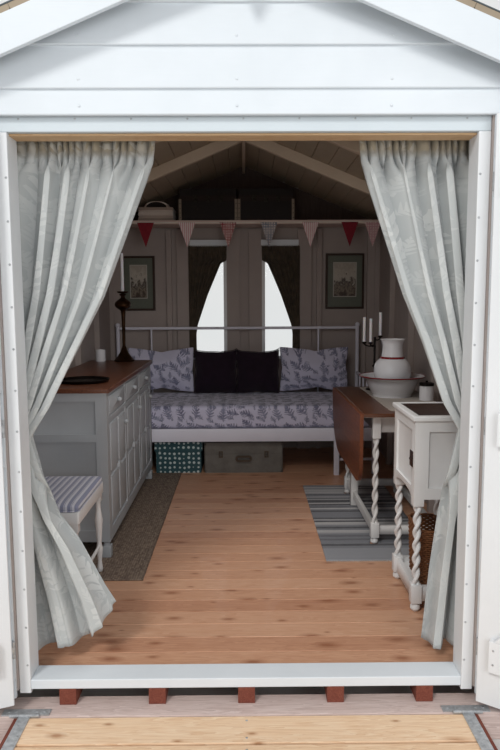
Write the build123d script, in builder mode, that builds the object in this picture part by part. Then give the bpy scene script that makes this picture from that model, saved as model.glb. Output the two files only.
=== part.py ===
from build123d import *
from math import atan2, cos, degrees, radians, sin, tan
import os

# Beach hut, in millimetres. X runs to the right seen from the front, -Y is the front, Z is up.
# The origin lies on the ground, under the middle of the middle bearer.

# Overall
hut_width = 2420
hut_depth = 3780
cladding_thickness = 16
stud_depth = 41
stud_width = 45
side_stud_count = 7
wall_thickness = cladding_thickness + stud_depth

# Base
bearer_height = 100
bearer_width = 100
back_bearer_inset = 160
bearer_end_inset = 20
sleeper_width = 120
sleeper_reach = 66
joist_height = 60
joist_width = 60
joist_spacing = 316
edge_joist_inset = 62
floor_thickness = 20
sill_thickness = 35
cladding_drop = 40

# Doorway
opening_width = 1520
opening_height = 1865
jamb_width = 40
jamb_depth = 97
jamb_drop = 15
jamb_recess = 24
head_height = 70
drip_cover = 24
cladding_gap = 6

# Roof
roof_pitch = 22.5
roof_thickness = 30
eaves_rise = 73
front_overhang = 60
back_overhang = 60
eaves_overhang = 70
bargeboard_width = 107
bargeboard_thickness = 20
fascia_height = 95
fascia_thickness = 18
plate_height = 45
rafter_depth = 70
rafter_width = 45
rafter_spacing = 860
first_rafter = 780
ridge_board_width = 25
ridge_board_height = 62
finial_width = 66
finial_height = 250
finial_thickness = 18

# Back windows
window_width = 315
window_height = 1000
window_inset = 155
window_sill_height = 995
window_frame_bar = 28
back_post_gap = 40
back_board_start = 640
back_stud_gap = 45
corner_board_width = 68
glass_thickness = 4

# Doors
door_thickness = 22
door_clearance = 5
door_bottom = 140
door_top_clearance = 8
ledge_thickness = 22
ledge_height = 110
ledge_inset = 50
ledge_heights = (130, 905, 1700)
brace_width = 95
left_open_angle = 157
right_open_angle = 144
hinge_axis_out = 6
hinge_axis_side = 3
knuckle_radius = 6
knuckle_length = 60
pin_radius = 3
pin_clearance = 0.3
strap_thickness = 3
strap_height = 34
strap_length = 320
plate_width = 42

# Deck flap
deck_half_width = 798
deck_length = 1180
deck_board_thickness = 25
deck_board_width = 139
deck_board_gap = 9
deck_gap = 6
deck_batten_width = 60
deck_strap_width = 40
deck_strap_length = 300
deck_plate_length = 164

# Soft goods and loose things rest this far off what carries them
soft_clearance = 0.3

# Worked out from these
floor_top = bearer_height + joist_height + floor_thickness
half_width = hut_width / 2
half_depth = hut_depth / 2
inner_x = half_width - wall_thickness
skin_x = half_width - cladding_thickness
front_y = -half_depth
front_skin_y = front_y + cladding_thickness
back_skin_y = half_depth - cladding_thickness
back_inner_y = half_depth - wall_thickness
jamb_y = front_y + jamb_recess
joist_top = bearer_height + joist_height
sill_top = joist_top + sill_thickness
half_opening = opening_width / 2
head_bottom = sill_top + opening_height
cladding_bottom = bearer_height + cladding_drop
slope = tan(radians(roof_pitch))
drip_z = head_bottom + head_height - drip_cover
wall_top = drip_z + eaves_rise
roof_underside_apex = wall_top + half_width * slope
roof_rise = roof_thickness / cos(radians(roof_pitch))

os.makedirs("parts", exist_ok=True)


def block(x0, x1, y0, y1, z0, z1):
    """One box between two corners, added to the open part."""
    with Locations(((x0 + x1) / 2, (y0 + y1) / 2, (z0 + z1) / 2)):
        Box(x1 - x0, y1 - y0, z1 - z0)


def save(part, label):
    part.part.label = label
    export_step(part.part, f"parts/{label}.step")


def turned(x, y, points):
    """A turned form about an upright axis, from its (radius, height) outline."""
    with BuildSketch(Plane(origin=(x, y, 0), x_dir=(1, 0, 0), z_dir=(0, -1, 0))) as outline:
        with BuildLine():
            Polyline(*points, close=True)
        make_face()
    revolve(outline.sketch, axis=Axis((x, y, 0), (0, 0, 1)))


def twisted_leg(x, y, block_bottom, block_top):
    """A square leg with a two-strand twist between its blocks, on a bun foot."""
    low_top = low_block_z + low_block_height
    half = leg_square / 2
    block(x - half, x + half, y - half, y + half, block_bottom, block_top)
    block(x - half, x + half, y - half, y + half, low_block_z, low_top)
    twist_height = block_bottom - low_top
    with BuildLine(mode=Mode.PRIVATE) as spine:
        Line((x, y, low_top), (x, y, block_bottom))
    with BuildLine(mode=Mode.PRIVATE) as guide:
        Helix(pitch=twist_height / twist_turns, height=twist_height, radius=half, center=(x, y, low_top))
    with BuildSketch(Plane.XY.offset(low_top)) as strands:
        with Locations((x + strand_offset * half, y), (x - strand_offset * half, y)):
            Circle(strand_size * half)
    sweep(strands.sketch, path=spine.wire(), binormal=guide.edge())
    bun = low_block_z - floor_top
    turned(x, y, [
        (0, floor_top), (0.5 * half, floor_top), (0.95 * half, floor_top + 0.3 * bun),
        (0.95 * half, floor_top + 0.6 * bun), (0.5 * half, floor_top + bun), (0, floor_top + bun),
    ])


def roof_z(x):
    """Height of the roof's underside at a distance from the middle."""
    return roof_underside_apex - abs(x) * slope


# Bearers and joists
with BuildPart() as bearers:
    for y in (0, half_depth - back_bearer_inset):
        block(
            -half_width + bearer_end_inset, half_width - bearer_end_inset,
            y - bearer_width / 2, y + bearer_width / 2, 0, bearer_height,
        )
save(bearers, "bearers")

sleeper_front = jamb_y - sleeper_reach
with BuildPart() as front_sleeper:
    block(
        -half_width + bearer_end_inset, half_width - bearer_end_inset,
        sleeper_front, sleeper_front + sleeper_width, 0, bearer_height,
    )
save(front_sleeper, "front_sleeper")

joist_back = back_skin_y
joist_places = [joist_spacing * n for n in range(-3, 4)]
joist_places += [-half_width + edge_joist_inset, half_width - edge_joist_inset]
with BuildPart() as floor_joists:
    for x in joist_places:
        block(x - joist_width / 2, x + joist_width / 2, jamb_y, joist_back, bearer_height, joist_top)
save(floor_joists, "floor_joists")

sill_back = jamb_y + jamb_depth
with BuildPart() as floor:
    block(-skin_x, skin_x, sill_back, back_skin_y, joist_top, floor_top)
save(floor, "floor")

with BuildPart() as door_sill:
    block(-half_opening, half_opening, jamb_y, sill_back, joist_top, sill_top)
save(door_sill, "door_sill")

# Doorway frame
jamb_bottom = joist_top - jamb_drop
jamb_outer = half_opening + jamb_width
with BuildPart() as door_jambs:
    for side in (-1, 1):
        block(*sorted((side * half_opening, side * jamb_outer)), jamb_y, sill_back, jamb_bottom, head_bottom)
save(door_jambs, "door_jambs")

with BuildPart() as door_head:
    block(-jamb_outer, jamb_outer, jamb_y, sill_back, head_bottom, head_bottom + head_height)
save(door_head, "door_head")

# Front wall
cladding_edge = jamb_outer + cladding_gap
for side, label in ((-1, "front_wall_left"), (1, "front_wall_right")):
    with BuildPart() as front_panel:
        block(*sorted((side * cladding_edge, side * skin_x)), front_y, front_skin_y, cladding_bottom, drip_z)
    save(front_panel, label)

with BuildPart() as front_gable:
    with BuildSketch(Plane.XZ.offset(-front_skin_y)) as gable_outline:
        with BuildLine():
            Polyline(
                (-skin_x, drip_z),
                (skin_x, drip_z),
                (skin_x, roof_z(skin_x)),
                (0, roof_underside_apex),
                (-skin_x, roof_z(skin_x)),
                close=True,
            )
        make_face()
    extrude(amount=cladding_thickness)
save(front_gable, "front_gable")

# Side walls
for side, label in ((-1, "left_wall"), (1, "right_wall")):
    with BuildPart() as side_wall:
        block(*sorted((side * skin_x, side * half_width)), front_y, half_depth, cladding_bottom, wall_top)
    save(side_wall, label)

plate_bottom = wall_top - plate_height
with BuildPart() as wall_plates:
    for side in (-1, 1):
        with BuildSketch(Plane.XZ.offset(-back_skin_y)) as plate_outline:
            with BuildLine():
                Polyline(
                    (side * inner_x, plate_bottom),
                    (side * skin_x, plate_bottom),
                    (side * skin_x, roof_z(skin_x)),
                    (side * inner_x, roof_z(inner_x)),
                    close=True,
                )
            make_face()
        extrude(amount=back_skin_y - front_skin_y)
save(wall_plates, "wall_plates")

with BuildPart() as wall_studs:
    first_stud = front_skin_y + stud_width / 2
    stud_step = (back_skin_y - front_skin_y - stud_width) / (side_stud_count - 1)
    for side in (-1, 1):
        for n in range(side_stud_count):
            y = first_stud + n * stud_step
            stud_bottom = floor_top if y > sill_back else joist_top
            block(
                *sorted((side * inner_x, side * skin_x)),
                y - stud_width / 2, y + stud_width / 2, stud_bottom, plate_bottom,
            )
        block(
            *sorted((side * jamb_outer, side * (jamb_outer + stud_width))),
            front_skin_y, front_skin_y + stud_depth, joist_top, roof_z(jamb_outer + stud_width),
        )
save(wall_studs, "wall_studs")

# Back wall with its two windows
window_centre = window_inset + window_width / 2
window_mid_z = window_sill_height + window_height / 2
with BuildPart() as back_wall:
    with BuildSketch(Plane.XZ.offset(-half_depth)) as back_outline:
        with BuildLine():
            Polyline(
                (-skin_x, cladding_bottom),
                (skin_x, cladding_bottom),
                (skin_x, roof_z(skin_x)),
                (0, roof_underside_apex),
                (-skin_x, roof_z(skin_x)),
                close=True,
            )
        make_face()
        with Locations((-window_centre, window_mid_z), (window_centre, window_mid_z)):
            Rectangle(window_width, window_height, mode=Mode.SUBTRACT)
    extrude(amount=cladding_thickness)
save(back_wall, "back_wall")

back_board_edges = (
    (back_post_gap, window_inset),
    (window_inset + window_width, back_board_start - back_stud_gap),
    (back_board_start, back_board_start + stud_width),
    (inner_x - corner_board_width, inner_x),
)
with BuildPart() as back_studs:
    for side in (-1, 1):
        for near, far in back_board_edges:
            block(*sorted((side * near, side * far)), back_inner_y, back_skin_y, floor_top, plate_bottom)
save(back_studs, "back_studs")

with BuildPart() as window_frames:
    for side in (-1, 1):
        with BuildSketch(Plane.XZ.offset(-back_skin_y)) as frame_outline:
            with Locations((side * window_centre, window_mid_z)):
                Rectangle(window_width, window_height)
                Rectangle(
                    window_width - 2 * window_frame_bar,
                    window_height - 2 * window_frame_bar,
                    mode=Mode.SUBTRACT,
                )
        extrude(amount=stud_depth)
save(window_frames, "window_frames")

with BuildPart() as window_glass:
    for side in (-1, 1):
        with Locations((side * window_centre, back_skin_y - 12, window_mid_z)):
            Box(window_width - 2 * window_frame_bar, glass_thickness, window_height - 2 * window_frame_bar)
save(window_glass, "window_glass")

# Roof
roof_front = front_y - front_overhang - bargeboard_thickness
roof_back = half_depth + back_overhang + bargeboard_thickness
eaves_x = half_width + eaves_overhang
for side, label in ((-1, "left_roof"), (1, "right_roof")):
    with BuildPart() as roof_panel:
        with BuildSketch(Plane.XZ.offset(-roof_back)) as roof_outline:
            with BuildLine():
                Polyline(
                    (0, roof_underside_apex),
                    (0, roof_underside_apex + roof_rise),
                    (side * eaves_x, roof_z(eaves_x) + roof_rise),
                    (side * eaves_x, roof_z(eaves_x)),
                    close=True,
                )
            make_face()
        extrude(amount=roof_back - roof_front)
    save(roof_panel, label)

half_ridge = ridge_board_width / 2
with BuildPart() as ridge_board:
    with BuildSketch(Plane.XZ.offset(-back_skin_y)) as ridge_outline:
        with BuildLine():
            Polyline(
                (-half_ridge, roof_underside_apex - ridge_board_height),
                (half_ridge, roof_underside_apex - ridge_board_height),
                (half_ridge, roof_z(half_ridge)),
                (0, roof_underside_apex),
                (-half_ridge, roof_z(half_ridge)),
                close=True,
            )
        make_face()
    extrude(amount=back_skin_y - front_skin_y)
save(ridge_board, "ridge_board")

rafter_rise = rafter_depth / cos(radians(roof_pitch))
with BuildPart() as rafters:
    for n in range(3):
        y = jamb_y + first_rafter + n * rafter_spacing
        for side in (-1, 1):
            with BuildSketch(Plane.XZ.offset(-(y + rafter_width / 2))) as rafter_outline:
                with BuildLine():
                    Polyline(
                        (side * half_ridge, roof_z(half_ridge) - rafter_rise),
                        (side * half_ridge, roof_z(half_ridge)),
                        (side * inner_x, roof_z(inner_x)),
                        (side * inner_x, roof_z(inner_x) - rafter_rise),
                        close=True,
                    )
                make_face()
            extrude(amount=rafter_width)
save(rafters, "rafters")

barge_rise = bargeboard_width / cos(radians(roof_pitch))
barge_gap = 0.5
with BuildPart() as bargeboards:
    for y in (roof_front + bargeboard_thickness, roof_back):
        for side in (-1, 1):
            with BuildSketch(Plane.XZ.offset(-y)) as barge_outline:
                with BuildLine():
                    Polyline(
                        (side * barge_gap, roof_z(barge_gap)),
                        (side * eaves_x, roof_z(eaves_x)),
                        (side * eaves_x, roof_z(eaves_x) - barge_rise),
                        (side * barge_gap, roof_z(barge_gap) - barge_rise),
                        close=True,
                    )
                make_face()
            extrude(amount=bargeboard_thickness)
save(bargeboards, "bargeboards")

finial_top = roof_underside_apex + roof_rise - 8
with BuildPart() as finial:
    with BuildSketch(Plane.XZ.offset(-roof_front)) as finial_outline:
        with BuildLine():
            Polyline(
                (0, finial_top),
                (finial_width / 2, finial_top - 22),
                (finial_width / 2, finial_top - finial_height + 70),
                (0, finial_top - finial_height),
                (-finial_width / 2, finial_top - finial_height + 70),
                (-finial_width / 2, finial_top - 22),
                close=True,
            )
        make_face()
    extrude(amount=finial_thickness)
save(finial, "finial")

fascia_top = roof_z(eaves_x)
with BuildPart() as fascias:
    for side in (-1, 1):
        block(
            *sorted((side * (eaves_x - fascia_thickness), side * eaves_x)),
            front_y - front_overhang, half_depth + back_overhang, fascia_top - fascia_height, fascia_top,
        )
save(fascias, "fascias")

trim_width = 58
trim_thickness = 16
trim_top = roof_z(half_width + trim_thickness) - 4
with BuildPart() as corner_trims:
    for side in (-1, 1):
        for end in (-1, 1):
            block(
                *sorted((side * half_width, side * (half_width + trim_thickness))),
                *sorted((end * half_depth, end * (half_depth - trim_width))), cladding_bottom, trim_top,
            )
            block(
                *sorted((side * (half_width + trim_thickness), side * (half_width - trim_width))),
                *sorted((end * half_depth, end * (half_depth + trim_thickness))), cladding_bottom, trim_top,
            )
save(corner_trims, "corner_trims")

# Doors, standing open. Each leaf is drawn from its hinge axis: along the leaf, through its thickness
# from the outer face inward, and upward.
axis_x = jamb_outer + hinge_axis_side
leaf_outer_y = jamb_y - door_clearance - door_thickness
axis_y = leaf_outer_y - hinge_axis_out
leaf_near = 2 * hinge_axis_side
leaf_far = axis_x - door_clearance / 2
leaf_out = hinge_axis_out
leaf_in = leaf_out + door_thickness
door_top = drip_z - door_top_clearance
ledge_far = leaf_far - 6
brace_gap = 0.5
middle_knuckle = 24
knuckle_gap = 0.5
hinge_heights = [door_bottom + low + ledge_height / 2 for low in ledge_heights]


def door_plane(side, angle):
    """The plane at a door's hinge axis, turned with the leaf."""
    closed = 180 if side > 0 else 0
    turn = radians(closed + side * angle)
    return Plane(origin=(side * axis_x, axis_y, 0), x_dir=(cos(turn), sin(turn), 0), z_dir=(0, 0, 1))


def leaf_block(side, u0, u1, v0, v1, z0, z1):
    """A box in a leaf's own plane, with v measured inward from the hinge axis."""
    with Locations(((u0 + u1) / 2, -side * (v0 + v1) / 2, (z0 + z1) / 2)):
        Box(u1 - u0, v1 - v0, z1 - z0)


for side, angle, name in ((-1, left_open_angle, "left"), (1, right_open_angle, "right")):
    leaf_plane = door_plane(side, angle)

    with BuildPart() as door_leaf:
        with Locations(leaf_plane.location):
            leaf_block(side, leaf_near, leaf_far, leaf_out, leaf_in, door_bottom, door_top)
    save(door_leaf, f"{name}_door")

    with BuildPart() as door_ledges:
        with Locations(leaf_plane.location):
            for low in ledge_heights:
                bottom = door_bottom + low
                leaf_block(
                    side, ledge_inset, ledge_far, leaf_in, leaf_in + ledge_thickness,
                    bottom, bottom + ledge_height,
                )
        brace_plane = Plane(
            origin=leaf_plane.from_local_coords(Vector(0, -side * leaf_in, 0)),
            x_dir=leaf_plane.x_dir,
            z_dir=leaf_plane.y_dir * -side,
        )
        for low, high in zip(ledge_heights, ledge_heights[1:]):
            z0 = door_bottom + low + ledge_height + brace_gap
            z1 = door_bottom + high - brace_gap
            up = 1 if brace_plane.y_dir.Z > 0 else -1
            with BuildSketch(brace_plane) as brace_outline:
                with BuildLine():
                    Polyline(
                        (ledge_inset + 15, up * z0),
                        (ledge_inset + 15 + brace_width, up * z0),
                        (ledge_far - 15, up * z1),
                        (ledge_far - 15 - brace_width, up * z1),
                        close=True,
                    )
                make_face()
            extrude(amount=ledge_thickness)
    save(door_ledges, f"{name}_door_ledges")

    with BuildPart() as door_straps:
        with Locations(leaf_plane.location):
            for z in hinge_heights:
                leaf_block(
                    side, 0, strap_length, leaf_out - strap_thickness, leaf_out,
                    z - middle_knuckle / 2, z + middle_knuckle / 2,
                )
                with Locations((0, 0, z)):
                    Cylinder(knuckle_radius, middle_knuckle)
            for z in hinge_heights:
                with Locations((0, 0, z)):
                    Cylinder(pin_radius + pin_clearance, middle_knuckle, mode=Mode.SUBTRACT)
    save(door_straps, f"{name}_door_straps")

plate_back = front_y
plate_front = plate_back - strap_thickness
outer_knuckle = (knuckle_length - middle_knuckle) / 2 - knuckle_gap
with BuildPart() as door_hinge_plates:
    for side in (-1, 1):
        for z in hinge_heights:
            block(
                *sorted((side * cladding_edge, side * (cladding_edge + plate_width))),
                plate_front, plate_back, z - knuckle_length / 2, z + knuckle_length / 2,
            )
            for end in (-1, 1):
                middle = z + end * (knuckle_length - outer_knuckle) / 2
                with Locations((side * axis_x, axis_y, middle)):
                    Cylinder(knuckle_radius, outer_knuckle)
                block(
                    *sorted((side * axis_x, side * (cladding_edge + 4))),
                    plate_front - strap_thickness, plate_back,
                    middle - outer_knuckle / 2, middle + outer_knuckle / 2,
                )
            with Locations((side * axis_x, axis_y, z)):
                Cylinder(pin_radius, knuckle_length)
save(door_hinge_plates, "door_hinge_plates")

# Deck flap, lying open in front of the doorway
deck_back = sleeper_front - deck_gap
deck_top = bearer_height
deck_boards_bottom = deck_top - deck_board_thickness
deck_side_width = 15
side_gap = 0.5
side_board_bottom = 6
deck_board_end = deck_half_width - deck_side_width
deck_board_count = 8
deck_pitch = deck_board_width + deck_board_gap
deck_front = deck_back - deck_board_count * deck_pitch + deck_board_gap
with BuildPart() as deck_boards:
    for n in range(deck_board_count):
        back = deck_back - n * deck_pitch
        block(-deck_board_end, deck_board_end, back - deck_board_width, back, deck_boards_bottom, deck_top)
save(deck_boards, "deck_boards")

deck_batten_places = (-deck_board_end + deck_batten_width / 2, 0, deck_board_end - deck_batten_width / 2)
with BuildPart() as deck_battens:
    for x in deck_batten_places:
        block(
            x - deck_batten_width / 2, x + deck_batten_width / 2,
            deck_front, deck_back, 0, deck_boards_bottom,
        )
    for side in (-1, 1):
        block(
            *sorted((side * (deck_board_end + side_gap), side * deck_half_width)),
            deck_front, deck_back, side_board_bottom, deck_top,
        )
save(deck_battens, "deck_battens")

deck_axis_y = (sleeper_front + deck_back) / 2
deck_axis_z = deck_top + knuckle_radius
deck_strap_x = deck_board_end - deck_strap_width / 2
deck_strap_thickness = 4
deck_middle_knuckle = deck_strap_width
deck_outer_knuckle = 30
with BuildPart() as deck_straps:
    for side in (-1, 1):
        x = side * deck_strap_x
        block(
            x - deck_strap_width / 2, x + deck_strap_width / 2,
            deck_axis_y - deck_strap_length, deck_axis_y, deck_top, deck_top + deck_strap_thickness,
        )
        with Locations(Location((x, deck_axis_y, deck_axis_z), (0, 90, 0))):
            Cylinder(knuckle_radius, deck_middle_knuckle)
        with Locations(Location((x, deck_axis_y, deck_axis_z), (0, 90, 0))):
            Cylinder(pin_radius + pin_clearance, deck_middle_knuckle, mode=Mode.SUBTRACT)
save(deck_straps, "deck_straps")

deck_plate_depth = 34
deck_plate_setback = 4
with BuildPart() as deck_hinge_plates:
    for side in (-1, 1):
        x = side * deck_strap_x
        block(
            x - deck_plate_length / 2, x + deck_plate_length / 2,
            sleeper_front + deck_plate_setback, sleeper_front + deck_plate_setback + deck_plate_depth,
            bearer_height, bearer_height + deck_strap_thickness,
        )
        for end in (-1, 1):
            middle = x + end * (deck_middle_knuckle / 2 + knuckle_gap + deck_outer_knuckle / 2)
            with Locations(Location((middle, deck_axis_y, deck_axis_z), (0, 90, 0))):
                Cylinder(knuckle_radius, deck_outer_knuckle)
            block(
                middle - deck_outer_knuckle / 2, middle + deck_outer_knuckle / 2,
                deck_axis_y, sleeper_front + 2 * deck_plate_setback,
                bearer_height, bearer_height + deck_strap_thickness,
            )
        with Locations(Location((x, deck_axis_y, deck_axis_z), (0, 90, 0))):
            Cylinder(pin_radius, deck_middle_knuckle + 2 * deck_outer_knuckle)
save(deck_hinge_plates, "deck_hinge_plates")

# Doorway curtains, tied back to the jambs
curtain_front = sill_back + 26
curtain_thickness = 70
curtain_top = head_bottom + 40
tie_height = floor_top + 860
hem_height = floor_top + 45
left_outline_points = (
    (-885, curtain_top), (-300, curtain_top), (-310, curtain_top - 100), (-784, tie_height),
    (-745, tie_height - 142), (-689, tie_height - 304), (-620, tie_height - 399), (-484, tie_height - 644),
    (-566, hem_height + 34), (-680, hem_height), (-810, hem_height + 15), (-885, tie_height - 40),
)
right_outline_points = (
    (885, curtain_top), (395, curtain_top), (405, curtain_top - 100), (628, tie_height + 340),
    (780, tie_height + 10), (760, tie_height - 30), (694, tie_height - 500), (671, tie_height - 674),
    (663, hem_height + 7), (810, hem_height), (885, tie_height - 40),
)
for points, label in ((left_outline_points, "left_curtain"), (right_outline_points, "right_curtain")):
    with BuildPart() as curtain:
        with BuildSketch(Plane.XZ.offset(-(curtain_front + curtain_thickness))) as curtain_outline:
            with BuildLine():
                Polyline(*points, close=True)
            make_face()
        extrude(amount=curtain_thickness)
    save(curtain, label)

rail_radius = 10
rail_half_length = 890
rail_bracket_x = 780
rail_y = curtain_front + curtain_thickness / 2
rail_z = curtain_top + rail_radius + soft_clearance
with BuildPart() as curtain_rail:
    with Locations(Location((0, rail_y, rail_z), (0, 90, 0))):
        Cylinder(rail_radius, 2 * rail_half_length)
    for side in (-1, 1):
        with Locations((side * (rail_half_length + 12), rail_y, rail_z)):
            Sphere(1.7 * rail_radius)
        block(
            side * rail_bracket_x - 8, side * rail_bracket_x + 8, sill_back, rail_y,
            rail_z - 8, rail_z + 8,
        )
save(curtain_rail, "curtain_rail")

window_top = window_sill_height + window_height
window_curtain_gap = 0.3
window_curtain_depth = 34
with BuildPart() as window_curtains:
    for side in (-1, 1):
        with BuildSketch(Plane.XZ.offset(-(back_inner_y - window_curtain_gap))) as window_curtain_outline:
            with BuildLine():
                Polyline(
                    (side * (window_centre + 178), window_top + 5),
                    (side * (window_centre - 162), window_top + 5),
                    (side * (window_centre - 162), window_top - 135),
                    (side * (window_centre - 104), window_top - 155),
                    (side * (window_centre + 113), window_top - 700),
                    (side * (window_centre + 118), window_sill_height + 15),
                    (side * (window_centre + 178), window_sill_height + 15),
                    close=True,
                )
            make_face()
        extrude(amount=window_curtain_depth)
save(window_curtains, "window_curtains")

# High shelf across the back, at plate height, with its trunks and linen
shelf_thickness = 24
shelf_lip_height = 30
shelf_lip_thickness = 20
shelf_depth = 350
shelf_front = back_inner_y - shelf_depth
shelf_drop = 7
shelf_top = wall_top - shelf_drop
with BuildPart() as high_shelf:
    block(
        -inner_x, inner_x, shelf_front + shelf_lip_thickness, back_inner_y,
        shelf_top - shelf_thickness, shelf_top,
    )
    block(
        -inner_x, inner_x, shelf_front, shelf_front + shelf_lip_thickness,
        shelf_top - shelf_lip_height, shelf_top,
    )
save(high_shelf, "high_shelf")

trunk_height = 258
trunk_depth = 300
trunk_lid = 78
trunk_corner = 6
trunk_setback = 25
corner_strip_width = 22
corner_strip_inset = 5
corner_strip_proud = 4
seam = 3
trunk_spans = ((-530, -60), (-45, 410))
trunk_y = shelf_front + trunk_setback + trunk_depth / 2
with BuildPart() as trunks:
    for x0, x1 in trunk_spans:
        middle = (x0 + x1) / 2
        with Locations((middle, trunk_y, shelf_top + trunk_height / 2)):
            Box(x1 - x0, trunk_depth, trunk_height)
        fillet(trunks.edges().filter_by(Axis.Z).filter_by_position(Axis.X, x0, x1), trunk_corner)
    lid_z = shelf_top + trunk_height - trunk_lid
    for x0, x1 in trunk_spans:
        with BuildSketch(Plane.XY.offset(lid_z)) as seam_outline:
            with Locations(((x0 + x1) / 2, trunk_y)):
                Rectangle(x1 - x0 + 20, trunk_depth + 20)
                Rectangle(x1 - x0 - 2 * seam, trunk_depth - 2 * seam, mode=Mode.SUBTRACT)
        extrude(amount=seam, mode=Mode.SUBTRACT)
        for x in (x0 + corner_strip_inset, x1 - corner_strip_inset):
            block(
                x - corner_strip_width / 2, x + corner_strip_width / 2,
                trunk_y - trunk_depth / 2 - corner_strip_proud, trunk_y, shelf_top, lid_z - 2 * seam,
            )
save(trunks, "trunks")

linen_left = -875
linen_width = 295
linen_depth = 275
linen_setback = 25
linen_fold = 22
linen_insets = (0, 6, 3, 8, 5)
towel_half_width = 88
towel_rise = 58
towel_depth = 240
linen_x = linen_left + linen_width / 2
linen_y = shelf_front + linen_setback + linen_depth / 2
with BuildPart() as linen_stack:
    for n, inset in enumerate(linen_insets):
        with BuildSketch(Plane.XY.offset(shelf_top + n * (linen_fold + soft_clearance))) as layer_outline:
            with Locations((linen_x, linen_y)):
                RectangleRounded(linen_width - 2 * inset, linen_depth - 2 * inset, linen_fold)
        extrude(amount=linen_fold)
    towel_z = shelf_top + len(linen_insets) * (linen_fold + soft_clearance)
    with BuildSketch(Plane.XZ.offset(-(linen_y + towel_depth / 2))) as towel_outline:
        with Locations((linen_x + 20, towel_z)):
            Ellipse(towel_half_width, towel_rise)
        with Locations((linen_x + 20, towel_z - towel_rise)):
            Rectangle(2 * towel_half_width, 2 * towel_rise, mode=Mode.SUBTRACT)
    extrude(amount=towel_depth)
save(linen_stack, "linen_stack")

flag_places = (-808, -468, -131, 205, 546, 870, 1060)
flag_width = 140
flag_drop = 200
flag_thickness = 2.5
tape_height = 10
tape_thickness = 4
tape_drop = 17
tape_end_gap = 20
with BuildPart() as bunting:
    tape_z = shelf_top - tape_drop
    block(
        -inner_x + tape_end_gap, inner_x - tape_end_gap,
        shelf_front - tape_thickness, shelf_front - soft_clearance,
        tape_z - tape_height / 2, tape_z + tape_height / 2,
    )
    for x in flag_places:
        with BuildSketch(Plane.XZ.offset(-(shelf_front - soft_clearance))) as flag_outline:
            with BuildLine():
                Polyline(
                    (x - flag_width / 2, tape_z), (x + flag_width / 2, tape_z), (x, tape_z - flag_drop),
                    close=True,
                )
            make_face()
        extrude(amount=flag_thickness)
save(bunting, "bunting")

# Framed pictures between the back studs
picture_sizes = ((-935, 175, 290, 482), (891, 187, 344, 490))
picture_frame_bar = 20
picture_depth = 22
picture_mat_recess = 10
with BuildPart() as pictures:
    for x, lift, width, height in picture_sizes:
        picture_z = window_mid_z + lift
        with BuildSketch(Plane.XZ.offset(-back_skin_y)) as frame_outline:
            with Locations((x, picture_z)):
                Rectangle(width, height)
        extrude(amount=picture_depth, taper=8)
        with BuildSketch(Plane.XZ.offset(-(back_skin_y - picture_depth))) as mat_outline:
            with Locations((x, picture_z)):
                Rectangle(width - 2 * picture_frame_bar, height - 2 * picture_frame_bar)
        extrude(amount=-picture_mat_recess, mode=Mode.SUBTRACT)
save(pictures, "pictures")

# Daybed of painted tube, with its mattress, pillows and cushions
daybed_front = jamb_y + 2800
daybed_depth = 860
daybed_back = daybed_front + daybed_depth
daybed_left = -1130
daybed_right = 1010
bed_rail_top = floor_top + 360
bed_rail_height = 100
bed_rail_thickness = 22
tube_radius = 16
bar_radius = 12
spindle_radius = 8
post_ball_radius = 22
side_spindles = 4
back_spindle_places = (-820, 650)
back_post_top = floor_top + 1110
front_post_top = floor_top + 720
inner_leg_width = 38
inner_leg_inset = 294
inner_leg_top = floor_top + 489
low_bar_z = floor_top + 117
low_bar_height = 18
mattress_height = 185
mattress_gap = 8
mattress_corner = 25
post_places = (daybed_left + tube_radius, daybed_right - tube_radius)
back_tube_y = daybed_back - tube_radius
front_tube_y = daybed_front + tube_radius
side_bar_z = front_post_top - 20
back_bar_z = back_post_top - 14
with BuildPart() as daybed:
    for x in post_places:
        for y, top in ((front_tube_y, front_post_top), (back_tube_y, back_post_top)):
            with Locations((x, y, (floor_top + top) / 2)):
                Cylinder(tube_radius, top - floor_top)
            with Locations((x, y, top + post_ball_radius / 2)):
                Sphere(post_ball_radius)
        with Locations(Location((x, (front_tube_y + back_tube_y) / 2, side_bar_z), (90, 0, 0))):
            Cylinder(bar_radius, back_tube_y - front_tube_y)
        block(
            x - bed_rail_thickness / 2, x + bed_rail_thickness / 2, front_tube_y, back_tube_y,
            bed_rail_top - bed_rail_height, bed_rail_top,
        )
        for n in range(side_spindles):
            y = front_tube_y + (n + 1) * (back_tube_y - front_tube_y) / (side_spindles + 1)
            with Locations((x, y, (bed_rail_top + side_bar_z) / 2)):
                Cylinder(spindle_radius, side_bar_z - bed_rail_top)
    with Locations(Location(((daybed_left + daybed_right) / 2, back_tube_y, back_bar_z), (0, 90, 0))):
        Cylinder(bar_radius, post_places[1] - post_places[0])
    for x in back_spindle_places:
        with Locations((x, back_tube_y, (bed_rail_top + back_bar_z) / 2)):
            Cylinder(spindle_radius, back_bar_z - bed_rail_top)
    for y in (front_tube_y - bed_rail_thickness / 2, back_tube_y - bed_rail_thickness / 2):
        block(*post_places, y, y + bed_rail_thickness, bed_rail_top - bed_rail_height, bed_rail_top)
    block(*post_places, front_tube_y, back_tube_y, bed_rail_top - tube_radius, bed_rail_top)
    inner_leg_back = front_tube_y - bed_rail_thickness / 2
    for post_x, inward in zip(post_places, (1, -1)):
        leg_x = post_x + inward * inner_leg_inset
        block(
            leg_x - inner_leg_width / 2, leg_x + inner_leg_width / 2,
            inner_leg_back - inner_leg_width, inner_leg_back, floor_top, inner_leg_top,
        )
        block(
            *sorted((post_x, leg_x)), inner_leg_back - spindle_radius, inner_leg_back + spindle_radius,
            low_bar_z - low_bar_height / 2, low_bar_z + low_bar_height / 2,
        )
save(daybed, "daybed")

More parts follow.
